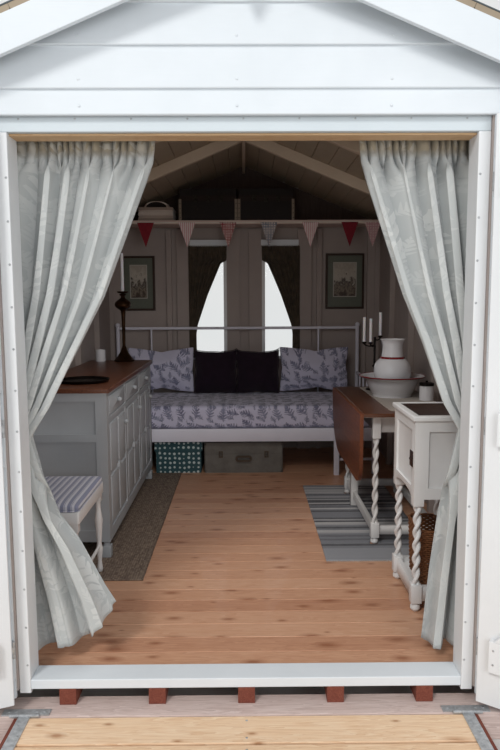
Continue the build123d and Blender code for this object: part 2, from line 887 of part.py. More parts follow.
mattress_bottom = bed_rail_top + soft_clearance
mattress_top = mattress_bottom + mattress_height
with BuildPart() as mattress:
    block(
        post_places[0] + tube_radius + mattress_gap, post_places[1] - tube_radius - mattress_gap,
        daybed_front + mattress_gap, back_tube_y - tube_radius - mattress_gap, mattress_bottom, mattress_top,
    )
    fillet(mattress.edges(), mattress_corner)
save(mattress, "mattress")

pillow_bottom = mattress_top + soft_clearance
pillow_spans = ((-1010, -430), (290, 900))
pillow_height = 390
pillow_depth = 150
pillow_corner = 45
pillow_back = daybed_back - 110
with BuildPart() as pillows:
    for x0, x1 in pillow_spans:
        block(
            x0, x1, pillow_back - pillow_depth, pillow_back,
            pillow_bottom, pillow_bottom + pillow_height,
        )
    fillet(pillows.edges(), pillow_corner)
save(pillows, "pillows")

cushion_spans = ((-420, -70), (-60, 280))
cushion_height = 370
cushion_depth = 140
cushion_corner = 40
cushion_back = daybed_back - 190
with BuildPart() as cushions:
    for x0, x1 in cushion_spans:
        block(
            x0, x1, cushion_back - cushion_depth, cushion_back,
            pillow_bottom, pillow_bottom + cushion_height,
        )
    fillet(cushions.edges(), cushion_corner)
save(cushions, "cushions")

# Storage box and suitcase under the daybed
case_y = daybed_front + 60
box_left = -705
box_right = -335
box_depth = 360
box_height = 245
box_lid_height = 70
box_lid_overhang = 10
case_left = -320
case_right = 295
case_depth = 240
case_height = 240
case_corner = 18
case_seam_part = 0.62
clasp_places = (-190, 165)
clasp_width = 32
clasp_height = 50
clasp_low = 122
grip_length = 130
grip_height = 46
grip_bar = 13
grip_z = floor_top + 115
grip_gap = 6
with BuildPart() as under_bed_boxes:
    lid_low = floor_top + box_height - box_lid_height
    block(
        box_left + box_lid_overhang, box_right - box_lid_overhang,
        case_y + box_lid_overhang, case_y + box_depth - box_lid_overhang, floor_top, lid_low,
    )
    block(box_left, box_right, case_y, case_y + box_depth, lid_low, floor_top + box_height)
    block(case_left, case_right, case_y, case_y + case_depth, floor_top, floor_top + case_height)
    case_uprights = under_bed_boxes.edges().filter_by(Axis.Z)
    fillet(case_uprights.filter_by_position(Axis.X, case_left - 1, case_right + 1), case_corner)
    case_x = (case_left + case_right) / 2
    with BuildSketch(Plane.XY.offset(floor_top + case_height * case_seam_part)) as case_seam:
        with Locations((case_x, case_y + case_depth / 2)):
            Rectangle(case_right - case_left + 8 * seam, case_depth + 8 * seam)
            RectangleRounded(
                case_right - case_left - 2 * seam, case_depth - 2 * seam, case_corner - seam,
                mode=Mode.SUBTRACT,
            )
    extrude(amount=seam, mode=Mode.SUBTRACT)
    for x in clasp_places:
        block(
            x - clasp_width / 2, x + clasp_width / 2, case_y - grip_gap, case_y + grip_gap,
            floor_top + clasp_low, floor_top + clasp_low + clasp_height,
        )
    with BuildSketch(Plane.XZ.offset(-(case_y - grip_gap))) as handle_outline:
        with Locations((case_x, grip_z)):
            SlotOverall(grip_length, grip_height)
            SlotOverall(grip_length - 2 * grip_bar, grip_height - 2 * grip_bar, mode=Mode.SUBTRACT)
    extrude(amount=grip_bar)
    for side in (-1, 1):
        x = case_x + side * (grip_length / 2 - grip_bar)
        block(
            x - grip_bar / 2, x + grip_bar / 2, case_y - grip_gap - 2, case_y + grip_gap,
            grip_z - grip_bar / 2, grip_z + grip_bar / 2,
        )
save(under_bed_boxes, "under_bed_boxes")

# Sideboard along the left wall, with sunk panels, drawers, knobs and turned feet
board_front = jamb_y + 1140
board_length = 1590
board_back = board_front + board_length
board_x = -705
board_depth = 435
board_height = 899
board_top_thickness = 26
board_foot = 90
board_foot_block = 66
board_foot_square = 50
board_lip = 14
board_back_lip = 10
board_post = 60
board_end_split = 640
end_rail = 20
panel_recess = 8
drawer_height = 115
drawer_rail = 16
drawer_margin = 8
bay_rail = 42
board_bays = 3
field_gap = 26
field_margin = 22
boss_size = 46
knob_radius = 14
knob_lift = 12
door_knob_inset = 40
body_low = floor_top + board_foot
body_high = floor_top + board_height - board_top_thickness
bay_length = (board_length - 2 * board_post + bay_rail) / board_bays
bay_width = bay_length - bay_rail
door_low = body_low + board_post
drawer_low = body_high - drawer_rail - drawer_height
door_high = drawer_low - bay_rail / 2
end_split = floor_top + board_end_split
with BuildPart() as sideboard:
    block(board_x - board_depth, board_x, board_front, board_back, body_low, body_high)
    for y in (board_front, board_back):
        for z0, z1 in ((door_low, end_split - end_rail), (end_split + end_rail, body_high - bay_rail)):
            with Locations((board_x - board_depth / 2, y, (z0 + z1) / 2)):
                Box(board_depth - 2 * board_post, 2 * panel_recess, z1 - z0, mode=Mode.SUBTRACT)
    for n in range(board_bays):
        y = board_front + board_post + bay_width / 2 + n * bay_length
        for z0, z1 in ((door_low, door_high), (drawer_low, drawer_low + drawer_height)):
            with Locations((board_x, y, (z0 + z1) / 2)):
                Box(2 * panel_recess, bay_width, z1 - z0, mode=Mode.SUBTRACT)
        field_width = (bay_width - 2 * field_margin - field_gap) / 2
        field_height = (door_high - door_low - 2 * field_margin - field_gap) / 2
        door_mid = (door_low + door_high) / 2
        with BuildSketch(Plane.YZ.offset(board_x - panel_recess)) as field_outline:
            for side in (-1, 1):
                for end in (-1, 1):
                    field_y = y + side * (field_width + field_gap) / 2
                    field_z = door_mid + end * (field_height + field_gap) / 2
                    with Locations((field_y, field_z)):
                        Rectangle(field_width, field_height)
            with Locations((y, door_mid)):
                Rectangle(boss_size, boss_size, mode=Mode.SUBTRACT)
            with Locations((y, drawer_low + drawer_height / 2)):
                Rectangle(bay_width - 2 * drawer_margin, drawer_height - 2 * drawer_margin)
        extrude(amount=panel_recess, taper=20)
        with Locations((board_x, y, door_mid)):
            Box(2 * panel_recess, boss_size - field_gap / 2, boss_size - field_gap / 2)
        for knob_y, knob_z in (
            (y, drawer_low + drawer_height / 2),
            (y + bay_width / 2 - door_knob_inset, door_high - 2 * door_knob_inset),
        ):
            with Locations((board_x + knob_lift, knob_y, knob_z)):
                Sphere(knob_radius)
    block(
        board_x - board_depth - board_back_lip, board_x + board_lip,
        board_front - board_lip, board_back + board_lip, body_high, floor_top + board_height,
    )
    fillet(sideboard.faces().sort_by(Axis.Z)[-1].edges(), 6)
    half_foot = board_foot_square / 2
    neck_low = floor_top + board_foot_block
    for x in (board_x - board_depth + half_foot, board_x - half_foot):
        for y in (board_front + half_foot, board_back - half_foot):
            block(x - half_foot, x + half_foot, y - half_foot, y + half_foot, floor_top, neck_low)
            turned(x, y, [
                (0, neck_low), (0.85 * half_foot, neck_low), (0.6 * half_foot, (neck_low + body_low) / 2),
                (0.85 * half_foot, body_low), (0, body_low),
            ])
save(sideboard, "sideboard")

# Stool with turned legs, and its striped seat
stool_left = -1000
stool_width = 300
stool_front = board_front - 638
stool_length = 488
stool_height = 456
stool_frame = 50
stool_corner = 12
leg_setback = 24
stool_leg_square = 34
stool_bar_height = 135
stool_bar_radius = 8
seat_inset = 2
seat_corner = 15
seat_thickness = 40
stool_leg_profile = (
    (0, 0), (9, 0), (15, 20), (10, 60), (17, 120), (11, 150), (20, 270), (12, 330), (12, 366), (0, 366),
)
frame_low = floor_top + stool_height - stool_frame
with BuildPart() as stool:
    block(
        stool_left, stool_left + stool_width, stool_front, stool_front + stool_length,
        frame_low, floor_top + stool_height,
    )
    fillet(stool.edges().filter_by(Axis.Z), stool_corner)
    half_leg = stool_leg_square / 2
    leg_ys = (stool_front + leg_setback, stool_front + stool_length - leg_setback)
    for x in (stool_left + leg_setback, stool_left + stool_width - leg_setback):
        for y in leg_ys:
            turned(x, y, [(r, floor_top + z) for r, z in stool_leg_profile])
            block(
                x - half_leg, x + half_leg, y - half_leg, y + half_leg,
                floor_top + stool_leg_profile[-1][1], frame_low,
            )
        with Locations(Location((x, sum(leg_ys) / 2, floor_top + stool_bar_height), (90, 0, 0))):
            Cylinder(stool_bar_radius, leg_ys[1] - leg_ys[0])
save(stool, "stool")

with BuildPart() as stool_seat:
    block(
        stool_left + seat_inset, stool_left + stool_width - seat_inset,
        stool_front + seat_inset, stool_front + stool_length - seat_inset,
        floor_top + stool_height + soft_clearance, floor_top + stool_height + seat_thickness,
    )
    fillet(stool_seat.edges(), seat_corner)
save(stool_seat, "stool_seat")

# Drop leaf table along the right wall, on twisted legs, with its near leaf hanging
table_front = jamb_y + 1247
table_length = 1117
table_height = 740
table_left = 630
table_right = 1130
table_board = 20
leaf_drop = 390
leaf_inset = 12
leaf_near_corner = 110
leaf_far_corner = 330
table_stretcher_height = 46
table_stretcher_thickness = 22
frieze_height = 95
gate_leg_gap = 268
leg_square = 44
leg_inset = 80
twist_turns = 3
strand_offset = 0.38
strand_size = 0.45
table_back = table_front + table_length
table_top = floor_top + table_height
frieze_low = table_top - table_board - frieze_height
low_block_height = 80
low_block_z = floor_top + 40
leg_top_block = 30
with BuildPart() as drop_leaf_table:
    block(table_left, table_right, table_front, table_back, table_top - table_board, table_top)
    fillet(drop_leaf_table.faces().sort_by(Axis.Z)[-1].edges(), 6)
    block(
        table_left + leg_inset, table_right - leg_inset, table_front + leg_inset, table_back - leg_inset,
        frieze_low, table_top - table_board,
    )
    for x in (table_left + leg_inset, table_right - leg_inset):
        for y in (table_front + leg_inset, table_back - leg_inset):
            twisted_leg(x, y, frieze_low - leg_top_block, table_top - table_board)
    stretcher_low = low_block_z + (low_block_height - table_stretcher_height) / 2
    half_stretcher = table_stretcher_thickness / 2
    for x in (table_left + leg_inset, table_right - leg_inset):
        block(
            x - half_stretcher, x + half_stretcher, table_front + leg_inset, table_back - leg_inset,
            stretcher_low, stretcher_low + table_stretcher_height,
        )
    for y in (table_front + leg_inset, table_back - leg_inset):
        block(
            table_left + leg_inset, table_right - leg_inset, y - half_stretcher, y + half_stretcher,
            stretcher_low, stretcher_low + table_stretcher_height,
        )
    gate_y = table_back - leg_inset - gate_leg_gap
    block(
        table_left + leg_inset - leg_square / 2, table_left + leg_inset + leg_square / 2,
        gate_y - leg_square / 2, gate_y + leg_square / 2, floor_top, table_top - table_board,
    )
save(drop_leaf_table, "drop_leaf_table")

table_leaf_near = table_front + leaf_inset
leaf_far_end = table_back - leaf_inset
leaf_low = table_top - leaf_drop
leaf_top = table_top - 4
with BuildPart() as table_leaf:
    with BuildSketch(Plane.YZ.offset(table_left - table_board - soft_clearance)) as leaf_outline:
        with BuildLine():
            Line((table_leaf_near, leaf_low + leaf_near_corner), (table_leaf_near, leaf_top))
            Line((table_leaf_near, leaf_top), (leaf_far_end, leaf_top))
            Line((leaf_far_end, leaf_top), (leaf_far_end, leaf_low + leaf_far_corner))
            RadiusArc(
                (leaf_far_end, leaf_low + leaf_far_corner),
                (leaf_far_end - leaf_far_corner, leaf_low), leaf_far_corner,
            )
            Line((leaf_far_end - leaf_far_corner, leaf_low), (table_leaf_near + leaf_near_corner, leaf_low))
            RadiusArc(
                (table_leaf_near + leaf_near_corner, leaf_low),
                (table_leaf_near, leaf_low + leaf_near_corner), leaf_near_corner,
            )
        make_face()
    extrude(amount=table_board)
save(table_leaf, "table_leaf")

# Side cabinet by the door, on twisted legs, with a panelled door, handle and low shelf
cabinet_front = jamb_y + 500
cabinet_length = 400
cabinet_left = 700
cabinet_right = 1130
cabinet_height = 858
cabinet_body_height = 358
cabinet_overhang = 10
cabinet_board = 20
cabinet_stile = 60
cabinet_arch = 26
cabinet_shelf_board = 18
cabinet_back = cabinet_front + cabinet_length
cabinet_top = floor_top + cabinet_height
cabinet_low = cabinet_top - cabinet_body_height
body_x = cabinet_left + cabinet_overhang
cabinet_middle_y = (cabinet_front + cabinet_back) / 2
cabinet_shelf_z = low_block_z + 30
cabinet_rim = 28
cabinet_inset = 3
cabinet_stretcher_height = 66
cabinet_stretcher_thickness = 20
cabinet_handle_width = 46
cabinet_handle_height = 66
cabinet_handle_proud = 5
cabinet_knob_radius = 8
cabinet_handle_y = cabinet_front + cabinet_overhang + 0.72 * cabinet_stile
cabinet_middle_z = (cabinet_low + cabinet_top - cabinet_board) / 2
body_length_x = cabinet_right - cabinet_overhang - body_x
panel_height = cabinet_top - cabinet_board - cabinet_low - 1.6 * cabinet_stile
with BuildPart() as side_cabinet:
    block(
        body_x, cabinet_right - cabinet_overhang, cabinet_front + cabinet_overhang,
        cabinet_back - cabinet_overhang, cabinet_low, cabinet_top - cabinet_board,
    )
    with Locations(
        ((body_x + cabinet_right - cabinet_overhang) / 2, cabinet_front + cabinet_overhang, cabinet_middle_z)
    ):
        Box(body_length_x - 2 * cabinet_stile, 2 * panel_recess, panel_height, mode=Mode.SUBTRACT)
    with Locations((body_x, cabinet_middle_y, cabinet_middle_z)):
        Box(2 * panel_recess, cabinet_length - 2 * cabinet_stile, panel_height, mode=Mode.SUBTRACT)
    with BuildSketch(Plane.YZ.offset(body_x - panel_recess)) as arch_outline:
        with Locations((cabinet_middle_y, cabinet_low)):
            Ellipse(cabinet_length / 2 - cabinet_stile, cabinet_arch)
    extrude(amount=cabinet_right - cabinet_left, mode=Mode.SUBTRACT)
    with Locations((body_x, cabinet_handle_y, cabinet_middle_z)):
        Box(2 * cabinet_handle_proud, cabinet_handle_width, cabinet_handle_height)
    with Locations((body_x - cabinet_handle_proud, cabinet_handle_y, cabinet_middle_z)):
        Sphere(cabinet_knob_radius)
    block(cabinet_left, cabinet_right, cabinet_front, cabinet_back, cabinet_top - cabinet_board, cabinet_top)
    fillet(side_cabinet.faces().sort_by(Axis.Z)[-1].edges(), 6)
    for x in (body_x + leg_square / 2, cabinet_right - cabinet_overhang - leg_square / 2):
        for y in (
            cabinet_front + cabinet_overhang + leg_square / 2,
            cabinet_back - cabinet_overhang - leg_square / 2,
        ):
            twisted_leg(x, y, cabinet_low - leg_top_block, cabinet_low)
    with Locations(((cabinet_left + cabinet_right) / 2, cabinet_middle_y, cabinet_top)):
        Box(
            cabinet_right - cabinet_left - 2 * cabinet_rim, cabinet_length - 2 * cabinet_rim,
            2 * cabinet_inset, mode=Mode.SUBTRACT,
        )
    leg_near_y = cabinet_front + cabinet_overhang + leg_square / 2
    leg_far_y = cabinet_back - cabinet_overhang - leg_square / 2
    leg_left_x = body_x + leg_square / 2
    leg_right_x = cabinet_right - cabinet_overhang - leg_square / 2
    half_rail = cabinet_stretcher_thickness / 2
    rail_low = low_block_z + 6
    for x in (leg_left_x, leg_right_x):
        block(
            x - half_rail, x + half_rail, leg_near_y, leg_far_y,
            rail_low, rail_low + cabinet_stretcher_height,
        )
    for y in (leg_near_y, leg_far_y):
        block(
            leg_left_x, leg_right_x, y - half_rail, y + half_rail,
            rail_low, rail_low + cabinet_stretcher_height,
        )
    block(
        leg_left_x, leg_right_x, leg_near_y, leg_far_y,
        cabinet_shelf_z, cabinet_shelf_z + cabinet_shelf_board,
    )
save(side_cabinet, "side_cabinet")

# Two open baskets on the low shelf
basket_wall = 9
basket_spans = ((758, 893, 250), (912, 1062, 215))
basket_depth = 230
basket_corner = 30
basket_flare = 10
basket_taper = -2
basket_bottom = cabinet_shelf_z + cabinet_shelf_board + soft_clearance
with BuildPart() as baskets:
    for x0, x1, height in basket_spans:
        foot_width = x1 - x0 - 2 * basket_flare
        with BuildSketch(Plane.XY.offset(basket_bottom)) as basket_outline:
            with Locations(((x0 + x1) / 2, cabinet_middle_y)):
                RectangleRounded(foot_width, basket_depth, basket_corner)
        extrude(amount=height, taper=basket_taper)
        with BuildSketch(Plane.XY.offset(basket_bottom + basket_wall)) as hollow_outline:
            with Locations(((x0 + x1) / 2, cabinet_middle_y)):
                RectangleRounded(
                    foot_width - 2 * basket_wall, basket_depth - 2 * basket_wall,
                    basket_corner - basket_wall,
                )
        extrude(amount=height, taper=basket_taper, mode=Mode.SUBTRACT)
save(baskets, "baskets")

# Wash bowl with its jug, a lidded canister and a three-armed candle holder on the table; a tall
# candlestick, a mug and a round tray on the sideboard
bowl_x = 922
bowl_y = table_front + 666
bowl_profile = (
    (0, 0), (118, 0), (122, 10), (148, 60), (165, 104), (200, 121), (205, 126), (203, 130), (162, 112),
    (142, 62), (112, 16), (0, 16),
)
jug_foot = 16.3
jug_profile = (
    (0, jug_foot), (70, jug_foot), (74, 28), (102, 95), (114, 150), (113, 182), (96, 218), (73, 238),
    (70, 250), (73, 300), (68, 352), (64, 352), (68, 300), (65, 250), (68, 241), (91, 215), (108, 180),
    (109, 150), (97, 97), (68, 36), (0, 32),
)
jug_handle_y = 104
jug_handle_z = 235
jug_handle_width = 16
jug_handle_reach = 62
jug_handle_rise = 92
jug_handle_bar = 14
jug_neck_radius = 71
canister_x = table_right - 44
canister_y = bowl_y - 197
canister_profile = ((0, 0), (40, 0), (42, 4), (42, 88), (43, 90), (43, 106), (12, 110), (8, 116), (0, 117))
candlestick_x = -883
candlestick_y = board_back - 75
candlestick_profile = (
    (0, 0), (74, 0), (74, 10), (62, 22), (34, 62), (18, 99), (12, 118), (13, 240), (18, 352), (28, 376),
    (54, 396), (60, 412), (54, 430), (28, 452), (16, 463), (14, 476), (25, 485), (15, 493), (38, 497),
    (42, 508), (11, 508), (11, 779), (0, 779),
)
mug_x = -1055
mug_y = board_back - 84
mug_profile = ((0, 0), (34, 0), (35, 85), (32, 85), (31, 5), (0, 5))
tray_x = -884
tray_y = board_front + 276
tray_profile = ((0, 0), (130, 0), (140, 16), (136, 16), (127, 4), (0, 4))
holder_x = 865
holder_y = table_front + 949
holder_profile = (
    (0, 0), (56, 0), (54, 8), (22, 20), (8, 40), (8, 150), (15, 160), (8, 172), (8, 350), (0, 350),
)
candle_radius = 10
cup_radius = 17
cup_height = 12
arm_size = 9
candle_places = ((-70, 0, 311, 172), (-35, -40, 311, 164), (42, 30, 350, 165))
board_top_z = floor_top + board_height
with BuildPart() as tableware:
    for x, y, z, profile in (
        (bowl_x, bowl_y, table_top, bowl_profile),
        (bowl_x, bowl_y, table_top, jug_profile),
        (canister_x, canister_y, table_top, canister_profile),
        (candlestick_x, candlestick_y, board_top_z, candlestick_profile),
        (mug_x, mug_y, board_top_z, mug_profile),
        (tray_x, tray_y, board_top_z, tray_profile),
        (holder_x, holder_y, table_top, holder_profile),
    ):
        turned(x, y, [(r, z + rise) for r, rise in profile])
    with BuildSketch(Plane.YZ.offset(bowl_x - jug_handle_width / 2)) as jug_handle:
        with Locations((bowl_y + jug_handle_y, table_top + jug_handle_z)):
            Ellipse(jug_handle_reach, jug_handle_rise)
            Ellipse(
                jug_handle_reach - jug_handle_bar, jug_handle_rise - jug_handle_bar, mode=Mode.SUBTRACT,
            )
        with Locations((bowl_y, table_top + jug_handle_z)):
            Rectangle(2 * jug_neck_radius, 2 * jug_handle_rise, mode=Mode.SUBTRACT)
    extrude(amount=jug_handle_width)
    for across, along, rise, length in candle_places:
        cup_z = table_top + rise
        reach = (across ** 2 + along ** 2) ** 0.5
        turn = degrees(atan2(along, across))
        arm_middle = (holder_x + across / 2, holder_y + along / 2, cup_z - arm_size / 2)
        with Locations(Location(arm_middle, (0, 0, turn))):
            Box(reach, arm_size, arm_size)
        with Locations((holder_x + across, holder_y + along, cup_z + cup_height / 2)):
            Cylinder(cup_radius, cup_height)
        with Locations((holder_x + across, holder_y + along, cup_z + length / 2)):
            Cylinder(candle_radius, length)
save(tableware, "tableware")

# Floor rugs, cut round the feet that stand in them
rug_thickness = 8
foot_gap = 4
runner_edges = (-1000, -495, board_front - 280, daybed_front + 46)
rag_rug_edges = (415, 1000, table_front - 181, table_back + 122)
stool_far_y = stool_front + stool_length - leg_setback
table_leg_x = table_left + leg_inset
table_leg_ys = (table_front + leg_inset, gate_y, table_back - leg_inset)
board_foot_x = board_x - board_foot_square / 2
board_foot_ys = (board_front + board_foot_square / 2, board_back - board_foot_square / 2)
stool_foot_width = 2 * stool_leg_profile[2][0]
feet_in_rugs = (
    *((board_foot_x, y, board_foot_square) for y in board_foot_ys),
    (stool_left + leg_setback, stool_far_y, stool_foot_width),
    (stool_left + stool_width - leg_setback, stool_far_y, stool_foot_width),
    *((table_leg_x, y, leg_square) for y in table_leg_ys),
    (post_places[0] + inner_leg_inset, inner_leg_back - inner_leg_width / 2, inner_leg_width),
)
with BuildPart() as rugs:
    for edges in (runner_edges, rag_rug_edges):
        block(*edges, floor_top, floor_top + rug_thickness)
    for x, y, width in feet_in_rugs:
        with Locations((x, y, floor_top + rug_thickness / 2)):
            Box(width + 2 * foot_gap, width + 2 * foot_gap, 2 * rug_thickness, mode=Mode.SUBTRACT)
save(rugs, "rugs")
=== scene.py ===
import math
import random

import bmesh
import bpy
from mathutils import Matrix, Vector, noise


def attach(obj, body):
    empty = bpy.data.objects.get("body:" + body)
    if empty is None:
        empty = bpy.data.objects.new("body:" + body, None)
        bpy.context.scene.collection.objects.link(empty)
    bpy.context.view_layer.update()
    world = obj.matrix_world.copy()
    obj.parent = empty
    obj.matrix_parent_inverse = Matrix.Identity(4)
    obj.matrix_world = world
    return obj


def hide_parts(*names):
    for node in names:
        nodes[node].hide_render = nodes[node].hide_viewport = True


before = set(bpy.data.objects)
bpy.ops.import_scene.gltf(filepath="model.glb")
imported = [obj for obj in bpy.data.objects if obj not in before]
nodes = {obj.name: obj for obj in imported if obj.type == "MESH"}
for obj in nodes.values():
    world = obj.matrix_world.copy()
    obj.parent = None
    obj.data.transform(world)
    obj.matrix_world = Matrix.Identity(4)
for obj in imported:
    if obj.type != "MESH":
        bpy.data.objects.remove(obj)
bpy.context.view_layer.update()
rng = random.Random(27)
SIDES = ((-1, "left"), (1, "right"))


def put(thing, **values):
    """Sets several properties of a thing and gives it back."""
    for name, value in values.items():
        setattr(thing, name, value)
    return thing


def new_object(name, data):
    made = bpy.data.objects.new(name, data)
    bpy.context.scene.collection.objects.link(made)
    return made


# Materials


def rgb(code):
    """The linear colour of a hex code."""
    values = [int(code[i:i + 2], 16) / 255 for i in (0, 2, 4)]
    return tuple(v / 12.92 if v <= 0.04045 else ((v + 0.055) / 1.055) ** 2.4 for v in values) + (1.0,)


def maths(kind):
    """A method of Value that adds a math node."""
    return lambda self, *others: self.tree.node("Math", 0, dict(enumerate((self, *others))), operation=kind)


class Value:
    """The output of a shader node. Sums and comparisons with it add math nodes."""

    def __init__(self, tree, socket):
        self.tree = tree
        self.socket = socket

    __add__ = __radd__ = maths("ADD")
    __sub__ = maths("SUBTRACT")
    __mul__ = __rmul__ = maths("MULTIPLY")
    __truediv__ = maths("DIVIDE")
    __pow__ = maths("POWER")
    __lt__ = maths("LESS_THAN")
    __gt__ = maths("GREATER_THAN")
    __or__ = maths("MAXIMUM")
    __abs__ = maths("ABSOLUTE")
    floor = maths("FLOOR")
    fract = maths("FRACT")
    sine = maths("SINE")
    root = maths("SQRT")

    def __rsub__(self, other):
        return self.tree.node("Math", 0, {0: other, 1: self}, operation="SUBTRACT")

    def part(self, axis):
        return self.tree.node("SeparateXYZ", "XYZ".index(axis), {0: self})

    def scaled(self, scale):
        return self.tree.node("Mapping", 0, {"Vector": self, "Scale": scale})

    def chance(self):
        """A random number from 0 to 1 that belongs to this value."""
        return self.tree.node("TexWhiteNoise", "Value", {"W": self}, noise_dimensions="1D")

    def between(self, low, high):
        return (self > low) * (self < high)

    def ramp(self, *stops, interpolation="LINEAR"):
        """Colours, or greys given as numbers, at their places from 0 to 1."""
        made = self.tree.node("ValToRGB", "Color", {0: self})
        scale = put(made.socket.node.color_ramp, interpolation=interpolation)
        while len(scale.elements) < len(stops):
            scale.elements.new(0.5)
        for point, (place, colour) in zip(scale.elements, stops):
            point.position = place
            point.color = rgb(colour) if isinstance(colour, str) else (colour, colour, colour, 1.0)
        return made


class Nodes:
    """A node tree, filled in short calls."""

    def __init__(self, owner):
        owner.use_nodes = True
        self.tree = owner.node_tree
        self.tree.nodes.clear()

    def feed(self, socket, value):
        if isinstance(value, Value):
            self.tree.links.new(value.socket, socket)
        else:
            socket.default_value = rgb(value) if isinstance(value, str) else value

    def node(self, kind, output, inputs, **settings):
        """Adds a node and gives back one of its outputs."""
        made = put(self.tree.nodes.new("ShaderNode" + kind), **settings)
        for name, value in inputs.items():
            self.feed(made.inputs[name], value)
        return None if output is None else Value(self, made.outputs[output])

    def mix(self, factor, a, b):
        return self.node("MixRGB", 0, {0: factor, 1: a, 2: b})


class Look(Nodes):
    """One procedural material."""

    def __init__(self, name, rough=0.5, metal=0.0, sheen=0.0, coat=0.0):
        self.material = bpy.data.materials.new(name)
        super().__init__(self.material)
        weights = {"Roughness": rough, "Metallic": metal, "Sheen Weight": sheen, "Coat Weight": coat}
        surface = self.node("BsdfPrincipled", 0, weights)
        self.node("OutputMaterial", None, {"Surface": surface})
        self.inputs = surface.socket.node.inputs
        self.place = self.node("TexCoord", "Object", {})
        self.x, self.y, self.z = (self.place.part(axis) for axis in "XYZ")

    def noise(self, scale, detail=3.0, rough=0.5, vector=None, stretch=None, warp=0.0):
        source = vector or self.place
        return self.node("TexNoise", "Fac", {
            "Scale": scale, "Detail": detail, "Roughness": rough, "Distortion": warp,
            "Vector": source.scaled(stretch) if stretch else source})

    def cells(self, scale, vector=None, output="Distance", spread=1.0, **settings):
        inputs = {"Scale": scale, "Randomness": spread, "Vector": vector or self.place}
        return self.node("TexVoronoi", output, inputs, **settings)

    def waves(self, scale, axis="X", vector=None, warp=0.0):
        inputs = {"Scale": scale, "Distortion": warp, "Vector": vector or self.place}
        return self.node("TexWave", "Fac", inputs, bands_direction=axis)

    def joined(self, x, y, z=0.0):
        return self.node("CombineXYZ", 0, {0: x, 1: y, 2: z})

    def moved(self, kind, vector, by):
        return self.node("VectorMath", 0, {0: vector, 1: by}, operation=kind)

    def patches(self, scale, low, high, a, b, detail=3, rough=0.5, most=1.0):
        """One tone with soft patches of another."""
        return self.mix(self.noise(scale, detail, rough).ramp((low, 0.0), (high, most)), a, b)

    def bump(self, height, distance, strength=1.0):
        made = self.node("Bump", 0, {"Distance": distance, "Strength": strength, "Height": height})
        earlier = self.inputs["Normal"].links
        if earlier:
            self.tree.links.new(earlier[0].from_socket, made.socket.node.inputs["Normal"])
        self.feed(self.inputs["Normal"], made)

    def weave(self, thread, axis="Z", distance=0.0003):
        """Fine crossing threads."""
        self.bump(self.waves(thread, "X") * self.waves(thread, axis), distance, 0.5)

    def colour(self, value):
        self.feed(self.inputs["Base Color"], value)

    def rough(self, value):
        self.feed(self.inputs["Roughness"], value)


def drawn_out(axis, along, across):
    """Scales for a texture that runs along one axis."""
    return tuple(along if letter == axis else across for letter in "XYZ")


def painted(name, colour, dirt, rough=0.45, grain="X", chips=None, above=None, darker=None):
    """Brushed paint on timber, with faint brush lines and soiling. It can be darker above a height."""
    look = Look(name, rough=rough)
    strokes = look.noise(6, 4, 0.6, stretch=drawn_out(grain, 1.5, 26))
    base = look.patches(2.3, 0.35, 0.75, colour, dirt, 4, 0.6, most=0.55)
    base = look.mix(strokes * 0.16, base, dirt)
    if chips:
        worn = look.noise(34, 5, 0.7) * look.noise(5, 3, 0.6)
        base = look.mix(worn.ramp((chips, 0.0), (chips + 0.02, 1.0)), base, "8a6a4c")
    if above:
        base = look.mix(look.z > above, base, look.mix(strokes, darker, "231915"))
    look.colour(base)
    look.rough(strokes * 0.18 + (rough - 0.09))
    look.bump(strokes, 0.0006, 0.55)
    return look.material


def timber(name, tones, width, across, along, rough=0.4, coat=0.0, contrast=1.0, knots=0.0, start=0.0):
    """Bare or varnished boards: each board has its own tone and its own run of grain."""
    look = Look(name, rough=rough, coat=coat)
    own = ((look.place.part(across) - start) / width).floor().chance()
    place = look.joined(*(look.place.part(axis) + own * 37.0 if axis == along else look.place.part(axis)
                          for axis in "XYZ"))
    rings = look.noise(5.0, 3, 0.5, vector=place, stretch=drawn_out(along, 0.55, 9), warp=0.8)
    lines = (rings * 7.0).fract()
    fibre = look.noise(38, 3, 0.6, vector=place, stretch=drawn_out(along, 0.88, 14.4))
    tone = lines * (0.42 * contrast) + (own * 0.25 + 0.06) + fibre * 0.3
    base = tone.ramp((0.12, tones[0]), (0.5, tones[1]), (0.95, tones[2]))
    if knots:
        flat = place.scaled((0.45, 1, 1))
        spots = look.cells(knots, vector=flat, voronoi_dimensions="2D")
        size = look.cells(knots, vector=flat, output="Color", voronoi_dimensions="2D").part("X") * 1.3 + 0.35
        base = look.mix((spots / size).ramp((0.04, 0.75), (0.08, 0.4), (0.17, 0.0)), base, tones[3])
    look.colour(base)
    look.rough(fibre * 0.25 + (rough - 0.12))
    look.bump(lines + fibre, 0.0005, 0.5)
    return look.material


def metal(name, colour, dark, rough=0.4, spots=60, metallic=0.9):
    look = Look(name, rough=rough, metal=metallic)
    patches = look.noise(spots, 4, 0.65)
    look.colour(look.mix(patches.ramp((0.35, 0.0), (0.72, 1.0)), colour, dark))
    look.rough(patches * 0.3 + (rough - 0.1))
    look.bump(patches + look.cells(spots * 1.5), 0.0003, 0.4)
    return look.material


def cloth(name, colour, other, thread=700, rough=0.85, sheen=0.25, blotch=9):
    """Plain woven cloth: crossing threads and a soft unevenness."""
    look = Look(name, rough=rough, sheen=sheen)
    look.colour(look.patches(blotch, 0.3, 0.75, colour, other, 4, 0.6))
    look.bump((look.waves(thread, "X") + look.waves(thread, "Y")) * look.waves(thread, "Z"), 0.0004, 0.6)
    return look.material


